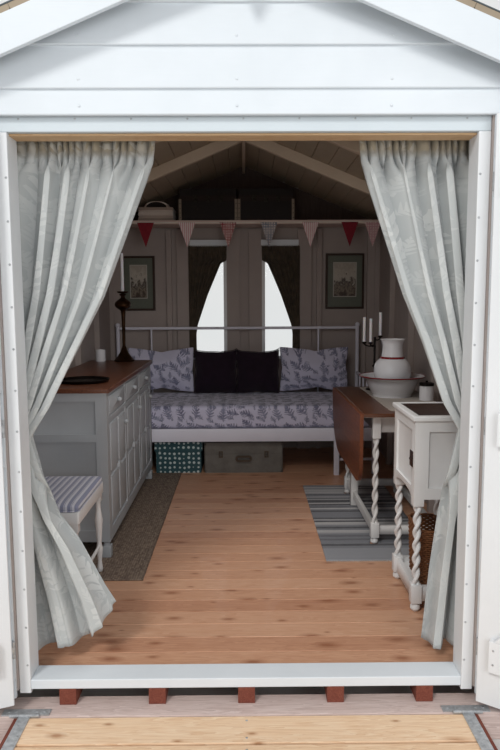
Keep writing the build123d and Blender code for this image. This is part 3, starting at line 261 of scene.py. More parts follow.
white_paint = painted("white_paint", "dfe5ea", "ced5da", chips=0.475)
white_upright = painted("white_paint_upright", "e5e7e9", "d5d8da", grain="Z", chips=0.465)
# A darker, bluer copy of the white paint, for the door head: painted shade, as under the gable's drip.
shaded_white = painted("shaded_white_paint", "d0d9de", "bfc9cf")
wall_paint = painted("room_paint", "a69b96", "918682", rough=0.6, grain="Z", above=2.173, darker="54433b")
roof_paint = painted("roof_lining_paint", "a39582", "877966", rough=0.6, grain="Y")
rafter_paint = painted("rafter_paint", "c4b5a3", "a38f7b", rough=0.6)
cream_paint = painted("cream_furniture_paint", "dbdbdb", "c4c2be", rough=0.42, grain="Z")
shelf_paint = painted("shelf_paint", "d9c3ba", "b59c91", rough=0.5)
metal_paint = painted("bed_white_paint", "e2e2ee", "d0d0dc", rough=0.35)
roof_felt = painted("roof_felt", "6f767a", "565c60", rough=0.9, grain="Y")
FLOOR_START, FLOOR_BOARD = -1.769, 0.1104
floor_wood = timber("floor_boards_wood", ("a8745a", "c8997b", "dfbb9f", "8a5539"), FLOOR_BOARD, "Y", "X",
                    rough=0.38, coat=0.12, contrast=0.6, knots=8.0, start=FLOOR_START)
deck_wood = timber("deck_wood", ("cfa681", "e8c8a6", "f3dfc4", "a06c45"), 0.148, "Y", "X", rough=0.62,
                   knots=9.0)
weathered = timber("weathered_wood", ("a8958e", "c8b4ad", "decdc7"), 0.4, "Z", "X", rough=0.85)
joist_wood = timber("joist_wood", ("55291f", "713b2f", "8d5443"), 0.4, "Z", "Y", rough=0.8)
soffit_wood = timber("soffit_wood", ("b08a63", "c7a47c", "d9ba94"), 0.4, "Y", "X", rough=0.6)
brown_wood = timber("brown_leaf_wood", ("42200f", "63351f", "7e492d"), 0.14, "Z", "Y", rough=0.5, coat=0.1)
zinc = metal("galvanised_steel", "cdd0d3", "a6aaad", rough=0.46, metallic=0.65)
iron = metal("black_iron", "2a2624", "15120f", rough=0.5, spots=80, metallic=0.6)


def wear(material, *names):
    """Gives CAD nodes their material."""
    for name in names:
        slots = nodes[name].material_slots
        if not slots:
            nodes[name].data.materials.append(material)
        for slot in slots:
            slot.material = material


wear(wall_paint, "back_studs", "wall_studs", "wall_plates")
wear(white_paint, "back_wall", "bargeboards", "fascias", "front_gable", "front_wall_left", "front_wall_right",
     "left_wall", "right_wall", "door_sill")
wear(white_upright, "corner_trims", "finial", "door_jambs", "left_door", "right_door", "left_door_ledges",
     "right_door_ledges", "curtain_rail", "window_frames")
# The door head wears the darker copy of the white paint: painted shade.
wear(shaded_white, "door_head")
wear(weathered, "bearers", "front_sleeper")
wear(joist_wood, "floor_joists", "deck_battens")
wear(floor_wood, "floor")
wear(roof_paint, "left_roof", "right_roof")
wear(rafter_paint, "rafters", "ridge_board")
wear(zinc, "left_door_straps", "right_door_straps", "door_hinge_plates", "deck_straps", "deck_hinge_plates")
wear(deck_wood, "deck_boards")
wear(metal_paint, "daybed")
wear(brown_wood, "table_leaf")
wear(cream_paint, "stool")
wear(shelf_paint, "high_shelf")

# Camera, light and stage

YAW = math.radians(-0.45)
PITCH = math.radians(6.46)
ROLL = math.radians(-0.26)
FOCAL_PIXELS, SENSOR_PIXELS, SENSOR_MM = 664.0, 750, 36
lens = put(bpy.data.cameras.new("camera"), lens=FOCAL_PIXELS / SENSOR_PIXELS * SENSOR_MM, clip_end=200)
turn = Matrix.Rotation(YAW, 4, "Z") @ Matrix.Rotation(math.pi / 2 - PITCH, 4, "X")
turn = Matrix.Translation((0.0, -4.075, 1.522)) @ turn @ Matrix.Rotation(ROLL, 4, "Z")
camera = put(new_object("camera", lens), matrix_world=turn)
bpy.context.scene.camera = camera
bpy.context.scene.view_settings.view_transform = "Standard"
for name, place, target, size, power, colour in (
    ("key", (-3.6, -9.0, 7.6), (0, -0.8, 1.0), 2.4, 470, (1.0, 0.98, 0.95)),
    ("fill", (1.8, -7.0, 2.6), (0, 0, 1.0), 3.0, 85, (1, 1, 1)),
    ("room", (0.0, -1.0, 2.0), (0.05, 0.1, 0.2), 0.9, 10, (1.0, 0.96, 0.92)),
):
    light = put(bpy.data.lights.new(name, "AREA"), shape="DISK", size=size, energy=power, color=colour)
    heading = (Vector(target) - Vector(place)).to_track_quat("-Z", "Y").to_euler()
    put(new_object(name, light), location=place, rotation_euler=heading, visible_camera=False,
        visible_glossy=False)

world = bpy.data.worlds.new("studio")
sky = Nodes(world)
camera_ray, through_glass, mirrored = (
    sky.node("LightPath", "Is %s Ray" % kind, {}) for kind in ("Camera", "Transmission", "Glossy"))
glow = sky.node("Background", 0, {"Color": (0.95, 0.97, 1.0, 1), "Strength": 0.62})
white = sky.node("Background", 0, {"Strength": 1.0})
chosen = sky.node("MixShader", 0, {0: camera_ray | through_glass | mirrored, 1: glow, 2: white})
sky.node("OutputWorld", None, {0: chosen})
bpy.context.scene.world = world

# Shapes


def circle(steps):
    """Angles round a circle."""
    return [2 * math.pi * n / steps for n in range(steps)]


def parts(steps):
    """0 to 1 in equal steps."""
    return [n / steps for n in range(steps + 1)]


class Shape:
    """Collects the faces of one piece."""

    def __init__(self):
        self.verts = []
        self.faces = []

    def add(self, verts, faces):
        start = len(self.verts)
        self.verts += [Vector(v) for v in verts]
        self.faces += [[start + i for i in face] for face in faces]

    def skin(self, rows, closed=False, looped=False, caps=(False, False)):
        """Faces through rows of points. A closed row ends where it starts, looped rows end at the first."""
        count, width = len(rows), len(rows[0])
        faces = []
        for i in range(count if looped else count - 1):
            j = (i + 1) % count
            for n in range(width if closed else width - 1):
                m = (n + 1) % width
                faces.append((i * width + n, i * width + m, j * width + m, j * width + n))
        if caps[0]:
            faces.append(range(width)[::-1])
        if caps[1]:
            faces.append(range((count - 1) * width, count * width))
        self.add([point for row in rows for point in row], faces)

    def prism(self, outline, run):
        """A solid from a flat outline, pushed along a vector."""
        points = [Vector(p) for p in outline]
        self.skin([points, [p + Vector(run) for p in points]], closed=True, caps=(True, True))

    def plank(self, low, high, side, chamfer):
        """A box between two corners, with its four long edges taken off. side names the long axis."""
        long = "XYZ".index(side)
        a, b = {"X": (1, 2), "Y": (2, 0), "Z": (0, 1)}[side]
        c = chamfer
        outline = []
        for u, v in (
            (low[a] + c, low[b]), (high[a] - c, low[b]), (high[a], low[b] + c), (high[a], high[b] - c),
            (high[a] - c, high[b]), (low[a] + c, high[b]), (low[a], high[b] - c), (low[a], low[b] + c),
        ):
            point = [0.0, 0.0, 0.0]
            point[a], point[b], point[long] = u, v, low[long]
            outline.append(point)
        run = [0.0, 0.0, 0.0]
        run[long] = high[long] - low[long]
        self.prism(outline, run)

    def lathe(self, centre, points, steps):
        """A turned form about an upright axis, from its (radius, height) outline."""
        x, y, z = centre
        self.skin([[(x + r * math.cos(angle), y + r * math.sin(angle), z + h) for angle in circle(steps)]
                   for r, h in points], closed=True, caps=(True, True))

    def tube(self, path, radius, sides=8, closed=False, flat=1.0):
        """A round bar along a path of points."""
        path = [Vector(p) for p in path]
        count = len(path)
        rows = []
        normal = None
        for i, point in enumerate(path):
            before = path[i - 1] if i or closed else path[0]
            after = path[(i + 1) % count] if i < count - 1 or closed else path[-1]
            forward = (after - before).normalized()
            if normal is None:
                normal = forward.orthogonal().normalized()
            normal = (normal - forward * normal.dot(forward)).normalized()
            other = forward.cross(normal)
            rows.append([point + radius * (normal * math.cos(angle) + flat * other * math.sin(angle))
                         for angle in circle(sides)])
        self.skin(rows, closed=True, looped=closed, caps=(not closed, not closed))

    def dome(self, centre, outward, radius, height=0.3, steps=8):
        """A low round head, such as a screw or nail, standing on a face."""
        outward = Vector(outward).normalized()
        a = outward.orthogonal().normalized()
        b = outward.cross(a)
        spokes = [a * math.cos(angle) + b * math.sin(angle) for angle in circle(steps)]
        self.skin([[Vector(centre) + radius * (r * spoke + height * h * outward) for spoke in spokes]
                   for r, h in ((1.0, 0.0), (0.94, 0.45), (0.7, 0.85), (0.35, 1.0))],
                  closed=True, caps=(False, True))

    def make(self, name, materials, body="hut", stands_for=(), smooth=None, move=None, pick=None, cuts=()):
        """The Blender object for the collected faces. smooth is the angle at which edges stay sharp."""
        mesh = bpy.data.meshes.new(name)
        points = [move(v) for v in self.verts] if move else self.verts
        mesh.from_pydata([tuple(p) for p in points], [], [list(face) for face in self.faces])
        form = bmesh.new()
        form.from_mesh(mesh)
        for point, normal in cuts:
            loose = bmesh.ops.bisect_plane(form, geom=form.verts[:] + form.edges[:] + form.faces[:],
                                           plane_co=point, plane_no=normal, clear_outer=True)
            rim = [e for e in loose["geom_cut"] if isinstance(e, bmesh.types.BMEdge)]
            bmesh.ops.holes_fill(form, edges=rim, sides=12)
        bmesh.ops.recalc_face_normals(form, faces=form.faces[:])
        form.to_mesh(mesh)
        form.free()
        for material in materials if isinstance(materials, list) else [materials]:
            mesh.materials.append(material)
        if pick:
            for face in mesh.polygons:
                face.material_index = pick(face)
        if smooth:
            mesh.shade_smooth()
            mesh.set_sharp_from_angle(angle=math.radians(smooth))
        return settle(new_object(name, mesh), stands_for, body)


def settle(piece, stands_for=(), body="hut"):
    """Lets a piece ride on its body in place of CAD nodes."""
    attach(piece, body)
    if stands_for:
        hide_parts(*stands_for)
    return piece


def thicken(piece, thickness, offset=0.0):
    put(piece.modifiers.new("cloth", "SOLIDIFY"), thickness=thickness, offset=offset)


def soften(width, *names):
    """Takes the sharp edges off CAD nodes."""
    for name in names:
        put(nodes[name].modifiers.new("join", "WELD"), merge_threshold=0.00002)
        put(nodes[name].modifiers.new("edges", "BEVEL"), width=width, segments=2, limit_method="ANGLE",
            angle_limit=math.radians(35))


def unwrap(piece, place_of):
    """Gives a sheet its flat coordinates, from the number of each point."""
    layer = piece.data.uv_layers.new(name="UVMap")
    for loop in piece.data.loops:
        layer.data[loop.index].uv = place_of(loop.vertex_index)


def sheet(name, material, rows, width, length, held, rests_on, thickness=0.0, stands_for=(), closed=False,
          smooth=180, **facts):
    """A cloth through rows of points. Without a length its area gives it."""
    shape = Shape()
    shape.skin(rows, closed)
    piece = shape.make(name, material, stands_for=stands_for, smooth=smooth)
    if thickness:
        thicken(piece, thickness)
    length = length or round(sum(p.area for p in piece.data.polygons) / width, 3)
    return piece


def smooth_step(t):
    t = max(0.0, min(1.0, t))
    return t * t * (3 - 2 * t)


def blend_keys(keys, t):
    """The values between rows of keys (t, a, b, ...), passing straight from one to the next."""
    for low, high in zip(keys, keys[1:]):
        if t <= high[0]:
            s = (t - low[0]) / (high[0] - low[0])
            return [a + (b - a) * s for a, b in zip(low[1:], high[1:])]
    return list(keys[-1][1:])


def ripple(x, y=0.0, z=0.0):
    """Smooth noise from -1 to 1."""
    return noise.noise(Vector((x, y, z)))


# Walls and roof

INNER_X, INNER_Y = 1.194, 1.874
OUTER_Y = 1.89
EXPOSURE = 0.127
NAIL_OUT = 0.0148
SLOPE = math.radians(22.5)
RISE = math.tan(SLOPE)
APEX = 2.6802
wall_rows = [0.14] + [2.106 - EXPOSURE * n for n in range(15, -1, -1)]
gable_rows = [2.106, 2.187, 2.318, 2.446, 2.573, 2.7]


def lapped_wall(name, along, ends, out, rows, stands_for, holes=(), cuts=()):
    """Lapped boards on one wall: each board is thick at its lower edge and thin at the top."""
    shape = Shape()
    plane = INNER_Y if along == "X" else INNER_X
    for z0, z1 in zip(rows, rows[1:]):
        marks = sorted({z0, z1} | {z for hole in holes for z in hole[2:] if z0 < z < z1})
        for low, high in zip(marks, marks[1:]):
            spans = [ends]
            for x0, x1, h0, h1 in holes:
                if h0 < (low + high) / 2 < h1:
                    halves = [half for a, b in spans for half in ((a, min(b, x0)), (max(a, x1), b))]
                    spans = [(a, b) for a, b in halves if b - a > 0.001]
            thick = [0.016 - 0.01 * (z - z0) / (z1 - z0) for z in (low, high)]
            outline = [(0, low), (thick[0], low), (thick[1], high), (0, high)]
            if low == z0:
                outline[1:2] = [(0.0115, low), (0.0145, low + 0.001), (0.016, low + 0.004)]
            for a, b in spans:
                if along == "X":
                    shape.prism([(a, out * (plane + t), z) for t, z in outline], (b - a, 0, 0))
                else:
                    shape.prism([(out * (plane + t), a, z) for t, z in outline], (0, b - a, 0))
    face = "YX".index(along)
    return shape.make(name, [white_paint, wall_paint], stands_for=stands_for, cuts=cuts,
                      pick=lambda f: 1 if f.normal[face] * out < -0.9 else 0)


roof_cuts = [((0, 0, APEX - 0.0005), (side * RISE, 0, 1)) for side in (-1, 1)]
windows = [(-0.47, -0.155, 0.995, 1.995), (0.155, 0.47, 0.995, 1.995)]
lapped_wall("gable_boards", "X", (-INNER_X, INNER_X), -1, gable_rows, ["front_gable"], cuts=roof_cuts)
lapped_wall("front_boards_left", "X", (-INNER_X, -0.806), -1, wall_rows, ["front_wall_left"])
lapped_wall("front_boards_right", "X", (0.806, INNER_X), -1, wall_rows, ["front_wall_right"])
lapped_wall("back_boards", "X", (-INNER_X, INNER_X), 1, wall_rows + gable_rows[1:], ["back_wall"],
            holes=windows, cuts=roof_cuts)
for side, label in SIDES:
    lapped_wall(label + "_boards", "Y", (-OUTER_Y, OUTER_Y), side, wall_rows + [2.179], [label + "_wall"])

nails = Shape()
for rows, places, out in (
    (gable_rows[:4], (-1.0, -0.52, -0.02, 0.47, 0.98), -1),
    (wall_rows[1:] + gable_rows[1:4], (-1.1, -0.63, 0.63, 1.1), 1),
):
    for z in rows:
        for x in places:
            if z + 0.06 < APEX - abs(x) * RISE:
                nails.dome((x, out * (INNER_Y + NAIL_OUT), z + 0.028), (0, out, 0), 0.0042, 0.35)
for z in wall_rows[1:]:
    for n in range(7):
        for out in (-1, 1):
            place = (out * (INNER_X + NAIL_OUT), 0.6 * n - 1.8, z - EXPOSURE + 0.028)
            nails.dome(place, (out, 0, 0), 0.0042, 0.35)
nails.make("cladding_nails", white_paint, smooth=40)

# The roof: boards that show their joints from below, and three sheets of covering over them
ROOF_END = 1.97
SLOPE_LENGTH = 1.28 / math.cos(SLOPE)
BOARDS = 11


def on_slope(side, along, off, y):
    """A point on the roof: along the slope from the ridge, and up from its underside."""
    return (side * (along * math.cos(SLOPE) + off * math.sin(SLOPE)), y,
            APEX - along * math.sin(SLOPE) + off * math.cos(SLOPE))


tacks = Shape()
for side, label in SIDES:
    shape = Shape()
    for n in range(BOARDS):
        u0, u1 = n * SLOPE_LENGTH / BOARDS, (n + 1) * SLOPE_LENGTH / BOARDS - 0.0012
        outline = [(u0 + 0.004, 0), (u1 - 0.004, 0), (u1, 0.004), (u1, 0.019), (u0, 0.019), (u0, 0.004)]
        if n == 0:
            outline = [(0.0005, 0.0002), (u1 - 0.004, 0), (u1, 0.004), (u1, 0.019), (-0.0074, 0.019)]
        outline = [on_slope(side, u, v, 0.003 - ROOF_END) for u, v in outline]
        shape.prism(outline, (0, 2 * ROOF_END - 0.006, 0))
    shape.make(label + "_roof_boards", roof_paint, stands_for=[label + "_roof"])
    felt = Shape()
    for n, (y0, y1) in enumerate(((-ROOF_END, -0.56), (-0.62, 0.76), (0.7, ROOF_END))):
        rows = []
        for i in range(27):
            y = y0 + (y1 - y0) * i / 26
            row = []
            for j in range(31):
                u = -0.011 + (SLOPE_LENGTH + 0.009) * j / 30
                row.append(on_slope(side, u, 0.0205 + 0.0022 * n + 0.0011 * ripple(u * 3, y * 3, n), y))
            row += [on_slope(side, SLOPE_LENGTH + 0.0008, off, y) for off in (0.02, 0.002)]
            rows.append(row)
        felt.skin(rows)
    thicken(felt.make(label + "_roof_covering", roof_felt, smooth=35), 0.0022, 1)
    for n in range(31):
        tacks.dome(on_slope(side, SLOPE_LENGTH - 0.02, 0.0255, -1.94 + n * 3.88 / 30),
                   (side * math.sin(SLOPE), 0, 1), 0.005)
tacks.make("roof_tacks", zinc, smooth=40)

# Floor, doors and deck

floor = Shape()
for n in range(33):
    y = FLOOR_START + n * FLOOR_BOARD
    floor.plank((-INNER_X, y, 0.16), (INNER_X, y + FLOOR_BOARD - 0.0012, 0.18), "X", 0.0014)
floor.make("floor_planks", floor_wood, stands_for=["floor"])


def leaf_place(side, angle):
    """Where a point of a door leaf is: along the leaf, inward from its hinge axis, and up."""
    heading = math.radians((180 if side > 0 else 0) + side * angle)
    along = Vector((math.cos(heading), math.sin(heading), 0))
    across = Vector((-math.sin(heading), math.cos(heading), 0))
    origin = Vector((side * 0.803, -1.899, 0))
    return lambda v: origin + along * v[0] - side * across * v[1] + Vector((0, 0, v[2]))


LEAF_BOARDS = 7
LEAF_BOARD = (0.8005 - 0.006) / LEAF_BOARDS
for (side, label), angle in zip(SIDES, (157, 144)):
    place = leaf_place(side, angle)
    leaf, heads = Shape(), Shape()
    for n in range(LEAF_BOARDS):
        u = 0.006 + n * LEAF_BOARD
        leaf.plank((u, 0.006, 0.14), (u + LEAF_BOARD - 0.0006, 0.028, 2.098), "Z", 0.0028)
    door = label + "_door"
    leaf.make(door + "_boards", white_upright, body=door, stands_for=[door], move=place)
    for low in (0.27, 1.045, 1.84):
        for n in range(LEAF_BOARDS):
            for lift in (0.03, 0.08):
                u = max(0.065, 0.006 + (n + 0.5) * LEAF_BOARD)
                heads.dome((u, 0.05, low + lift), (0, 1, 0), 0.0042)
        for u in (0.05, 0.13, 0.21, 0.29):
            heads.dome((u, 0.003, low + 0.055 + rng.uniform(-0.002, 0.002)), (0, -1, 0), 0.0048)
    heads.make(door + "_screws", zinc, body=door, move=place, smooth=40)

screws, deck_screws, plate_screws = Shape(), Shape(), Shape()
for side, first in ((-1, 1.918), (1, 1.925)):
    for n in range(13):
        screws.dome((side * 0.768, -1.866, first - 0.139 * n), (0, -1, 0), 0.0042, steps=10)
    for n in range(5):
        deck_screws.dome((side * 0.763 + (0.009 if n % 2 else -0.009), -1.985 - n * 0.057, 0.104), (0, 0, 1),
                         0.0062, steps=10)
    for x in (-0.062, -0.035, 0.035, 0.062):
        plate_screws.dome((side * 0.763 + x, -1.908, 0.104), (0, 0, 1), 0.0055, steps=10)
for n in range(9):
    screws.dome((-0.72 + n * 0.18, -1.866, 2.1), (0, -1, 0), 0.0035, 0.25)
for n in range(8):
    for x in (-0.745, 0.0, 0.745) if n > 2 else (0.0,):
        for dy in (-0.045, 0.045):
            deck_screws.dome((x, -1.938 - n * 0.148 - 0.0695 + dy, 0.1), (0, 0, 1), 0.0045, 0.2)
screws.make("frame_screws", zinc, smooth=40)
deck_screws.make("deck_screws", zinc, body="front_deck", smooth=40)
plate_screws.make("deck_plate_screws", zinc, smooth=40)

boards = Shape()
boards.plank((-0.7595, -1.846, 2.0525), (0.7595, -1.7695, 2.0597), "X", 0.0015)
boards.make("head_lining", soffit_wood)
boards = Shape()
for low, high in ((-0.477, -0.148), (0.148, 0.477)):
    boards.plank((low, 1.818, 1.996), (high, 1.8328, 2.044), "X", 0.002)
boards.make("window_head_boards", white_paint)

soften(0.0006, "left_door_straps", "right_door_straps")
soften(0.0008, "deck_straps", "deck_hinge_plates")
soften(0.001, "curtain_rail")
soften(0.0015, "pictures", "daybed")
soften(0.002, "bargeboards", "fascias", "corner_trims", "finial", "floor_joists", "rafters", "wall_studs",
       "wall_plates", "back_studs", "window_frames", "high_shelf", "stool", "drop_leaf_table", "side_cabinet")
soften(0.0025, "left_door_ledges", "right_door_ledges", "sideboard")
soften(0.003, "door_jambs", "door_head", "door_sill", "deck_boards", "deck_battens", "trunks",
       "under_bed_boxes")
soften(0.004, "front_sleeper", "bearers", "table_leaf")
for name in ("daybed", "drop_leaf_table", "side_cabinet", "stool", "sideboard"):
    nodes[name].data.shade_smooth()
    nodes[name].data.set_sharp_from_angle(angle=math.radians(32))

# Cloths


def sprigs(look, place, pitch, size, density, jitter):
    """Scattered leafy sprigs: a stem with paired leaves in each cell, each turned its own way."""
    cell = look.cells(1.0 / pitch, place, "Position", jitter)
    own = look.cells(1.0 / pitch, place, "Color", jitter)
    inputs = {"Vector": look.moved("SUBTRACT", place, cell), "Angle": own.part("X") * 1.6 + 0.35}
    turned = look.node("VectorRotate", 0, inputs, rotation_type="Z_AXIS")
    u = turned.part("X")
    away = abs(turned.part("Y") - (u * (3.2 / size)).sine() * (0.1 * size))
    reach = 1.0 - abs(u) / (0.55 * size)
    stem = away < 0.022 * size
    beat = abs((u / (0.2 * size) + away / (0.3 * size)).fract() - 0.5)
    leaf = (beat < 0.46 - away / (0.42 * size) * 0.4) * (away < reach * (0.42 * size))
    return (stem | leaf) * (reach > 0.0) * (own.part("Y") < density)


def printed_cloth():
    """Pale cotton with blue-grey sprigs and small flowers."""
    look = Look("sprigged_cotton", rough=0.85, sheen=0.2)
    wobble = (look.noise(55, 3, 0.7) - 0.5) * 0.022
    sway = (look.noise(38, 3, 0.7, warp=1.0) - 0.5) * 0.022
    warped = look.moved("ADD", look.joined(look.x, look.z - look.y), look.joined(wobble, sway))
    shifted = look.moved("ADD", warped, (0.047, 0.031, 0.0))
    flower = look.cells(1 / 0.105, warped, spread=0.45) + look.noise(120, 2) * 0.1 < 0.185
    mask = sprigs(look, warped, 0.105, 0.1, 0.97, 0.45) | sprigs(look, shifted, 0.079, 0.058, 0.75, 0.6)
    mask = mask | flower
    shade = look.patches(30, 0.35, 0.65, "3f4365", "8488a2")
    look.colour(look.mix(mask * 0.8, look.mix(look.noise(4, 3), "d2d0e4", "c4c3d8"), shade))
    look.weave(900)
    look.bump(look.noise(14, 3, 0.55), 0.004, 0.35)
    return look.material


def damask():
    """Pale curtain cloth with a leafy weave, a beige heading and shade at the backs of the folds."""
    look = Look("curtain_damask", rough=0.62, sheen=0.3)
    flat = look.node("TexCoord", "UV", {})
    wobble = (look.noise(16, 2, vector=flat) - 0.5) * 0.05
    vine = sprigs(look, look.joined(flat.part("X") + wobble, flat.part("Y") - wobble), 0.21, 0.2, 0.95, 0.5)
    pattern = sprigs(look, flat, 0.11, 0.085, 0.8, 0.7) * 0.7 | vine
    pattern = pattern * look.noise(5, 2).ramp((0.35, 0.35), (0.65, 1.0))
    ground = look.mix(look.noise(3, 3), "c3c7c6", "b0b4b4")
    ground = look.mix((look.z - 1.06).ramp((0.945, 0.0), (0.975, 1.0)) * 0.9, ground, "a5967c")
    behind = ((look.y + 1.738) * 16.0).ramp((0.15, 0.0), (0.95, 1.0))
    ground = look.mix(behind * 0.42, ground, "73797d")
    look.colour(look.mix(pattern * 0.38, ground, "dfe0dd"))
    look.rough(0.66 - pattern * 0.2)
    look.bump(look.waves(420, "X", flat) + look.waves(420, "Y", flat), 0.0003, 0.5)
    look.bump(pattern, 0.0006, 0.5)
    return look.material


curtain_cloth = damask()
bed_cloth = printed_cloth()
velvet = cloth("aubergine_velvet", "1b121c", "241825", thread=500, rough=0.95, sheen=0.08, blotch=16)
shade_cloth = cloth("window_curtain_cloth", "544a3c", "37302a", thread=240, rough=0.9, sheen=0.1, blotch=20)
linen_white = cloth("white_linen", "ded8cf", "cbc3b8", thread=600, blotch=12)


def hanging(name, material, keys, middle_y, width, folds, pleats, hem, rows, columns, seed, deep, stands_for,
            rests_on, flare_folds=0, thickness=0.0):
    """A gathered curtain, tied to one side. keys are rows of (drop, outer x, inner x, outer z, inner z). Each
    row of cloth keeps its full width, so the folds are deeper where it is drawn together."""
    dice = random.Random(int(seed * 100))
    spans = [dice.uniform(0.55, 1.7) for n in range(2 * folds)]
    swells = [dice.uniform(0.65, 1.3) for n in range(2 * folds)]
    marks = [sum(spans[:n]) / sum(spans) for n in range(2 * folds + 1)]
    heights = [0.3 * v + 0.7 * v ** 2 for v in parts(rows)]

    def cloth_point(s, v, size):
        """A point at a part s of the width and a part v of the drop, with folds of this size."""
        xo, xi, zo, zi = blend_keys(keys, v)
        ends = math.sin(math.pi * s)
        bunch = s + 0.018 * ripple(3.1 * s, 1.6 * v, seed) * ends * 2
        across = max(0.0, min(0.9999, s + 0.03 * ripple(2.0 * s, 1.8 * v, seed + 3) * ends))
        fold = max(k for k in range(2 * folds) if marks[k] <= across)
        phase = math.pi * (fold + (across - marks[fold]) / (marks[fold + 1] - marks[fold]))
        main = math.sin(phase) * swells[fold] * (1 + 0.3 * ripple(fold * 0.9, 1.7 * v, seed + 9))
        gather = math.pi * (pleats * s + 0.75 * ripple(0.34 * pleats * s, 1.5 * v, seed))
        fine = (1 - 2 * abs(math.sin(gather)) ** 0.55) * (0.8 + 0.35 * ripple(9 * s, 0, seed))
        flare = smooth_step((v - 0.6) / 0.16) if flare_folds else 0.0
        broad = math.pi * (2 * flare_folds * s + 0.35 * ripple(2.4 * s, 0.8 * v, seed + 2))
        main = (1 - flare) * main + flare * 1.25 * math.cos(broad)
        rise = smooth_step((v - 0.035) / 0.075)
        depth = deep * math.tanh(size * (rise * main + (1 - rise) * 0.42 * fine) / deep)
        roll = 0.33 * size * math.sin(2 * phase) * rise * (1 - 0.8 * flare)
        x = xo + (xi - xo) * bunch + roll * (1 if xi > xo else -1)
        z = zo + (zi - zo) * s ** (1 + 3 * v) + hem * ripple(5 * s, 0, seed + 5) * v ** 6
        z -= 0.006 * smooth_step((0.03 - v) / 0.03) * (0.5 + 0.5 * math.sin(2 * math.pi * pleats * s))
        return Vector((x, middle_y + depth, z))

    sheet_rows = []
    for v in heights:
        low, high = 0.0005, 0.09
        for attempt in range(9):
            size = (low + high) / 2
            points = [cloth_point(s, v, size) for s in parts(columns)]
            if sum((b - a).length for a, b in zip(points, points[1:])) < width:
                low = size
            else:
                high = size
        pinch = 1 - sum(most * math.exp(-((v - place) / reach) ** 2)
                        for most, place, reach in ((0.45, 0.037, 0.007), (0.15, 0.012, 0.005)))
        sheet_rows.append([Vector((p.x, middle_y + (p.y - middle_y) * pinch, p.z)) for p in points])
    piece = sheet(name, material, sheet_rows, width, None, "gathered", rests_on, thickness, stands_for)
    drop = keys[0][3] - (keys[-1][3] + keys[-1][4]) / 2
    unwrap(piece, lambda k: (width * (k % (columns + 1)) / columns, drop * (1 - heights[k // (columns + 1)])))
    return piece


CURTAIN_Y = -1.708
left_keys = (
    (0.0, -0.868, -0.3, 2.098, 2.098), (0.06, -0.868, -0.312, 1.99, 1.99),
    (0.3, -0.866, -0.494, 1.545, 1.535), (0.5, -0.872, -0.706, 1.165, 1.14),
    (0.565, -0.878, -0.784, 1.04, 1.03), (0.64, -0.878, -0.748, 0.905, 0.905),
    (0.74, -0.872, -0.689, 0.725, 0.736), (0.8, -0.868, -0.62, 0.6, 0.641), (0.91, -0.858, -0.53, 0.4, 0.46),
    (1.0, -0.84, -0.49, 0.232, 0.392),
)
right_keys = (
    (0.0, 0.868, 0.395, 2.098, 2.098), (0.06, 0.868, 0.405, 1.99, 1.99), (0.3, 0.866, 0.56, 1.545, 1.54),
    (0.4, 0.868, 0.634, 1.37, 1.37), (0.5, 0.872, 0.715, 1.165, 1.15), (0.555, 0.876, 0.78, 1.06, 1.05),
    (0.63, 0.874, 0.748, 0.915, 0.915), (0.74, 0.868, 0.716, 0.72, 0.725), (0.85, 0.86, 0.69, 0.5, 0.51),
    (1.0, 0.84, 0.667, 0.228, 0.234),
)
window_keys = (
    (0.0, 0.488, 0.153, 1.992, 1.992), (0.13, 0.488, 0.155, 1.865, 1.865), (0.17, 0.488, 0.205, 1.826, 1.84),
    (0.45, 0.488, 0.325, 1.555, 1.56), (0.7, 0.487, 0.418, 1.312, 1.3), (0.78, 0.486, 0.43, 1.225, 1.222),
    (1.0, 0.486, 0.428, 1.014, 1.016),
)
TIE_HEIGHT, TIE_STEPS = 0.055, 64
for label, keys, width, folds, pleats, hem, columns, seed, flare_folds, tie_x, tie_z, tilt, reach in (
    ("left", left_keys, 1.22, 6, 19, 0.016, 300, 1.7, 3, -0.831, 1.036, -0.012, 0.053),
    ("right", right_keys, 1.05, 5, 16, 0.012, 260, 6.3, 2, 0.829, 1.06, 0.012, 0.054),
):
    curtain = hanging("doorway_curtain_" + label, curtain_cloth, keys, CURTAIN_Y, width, folds, pleats, hem,
                      150, columns, seed, 0.034, [label + "_curtain"], ["curtain_rail"], flare_folds, 0.0012)
    rows = []
    for w in parts(8):
        row = []
        for angle in circle(TIE_STEPS):
            swell = 1 + 0.05 * math.cos(6 * angle) - 0.1 * (2 * w - 1) ** 2
            swell += 0.02 * ripple(4 * angle, 6 * w - 3, tie_x)
            row.append((tie_x + reach * swell * math.cos(angle), CURTAIN_Y + 0.038 * swell * math.sin(angle),
                        tie_z + TIE_HEIGHT * (w - 0.5) + tilt * math.cos(angle)))
        rows.append(row)
    tie = sheet("tie_back_" + label, curtain_cloth, rows, TIE_HEIGHT, None, "stretched", [curtain],
                closed=True)
    unwrap(tie, lambda k: (k % TIE_STEPS / TIE_STEPS * 0.3, k // TIE_STEPS / 8 * TIE_HEIGHT))
for side, label in SIDES:
    keys = [(v, side * xo, side * xi, zo, zi) for v, xo, xi, zo, zi in window_keys]
    hanging(label + "_window_curtain", shade_cloth, keys, 1.8157, 0.62, 7, 21, 0.006, 70, 130, side + 12.0,
            0.0145, ["window_curtains"], ["window_frames"])

# Stuffed pieces: two layers of cloth, sewn round the edge and blown up

BED_TOP = 0.7256


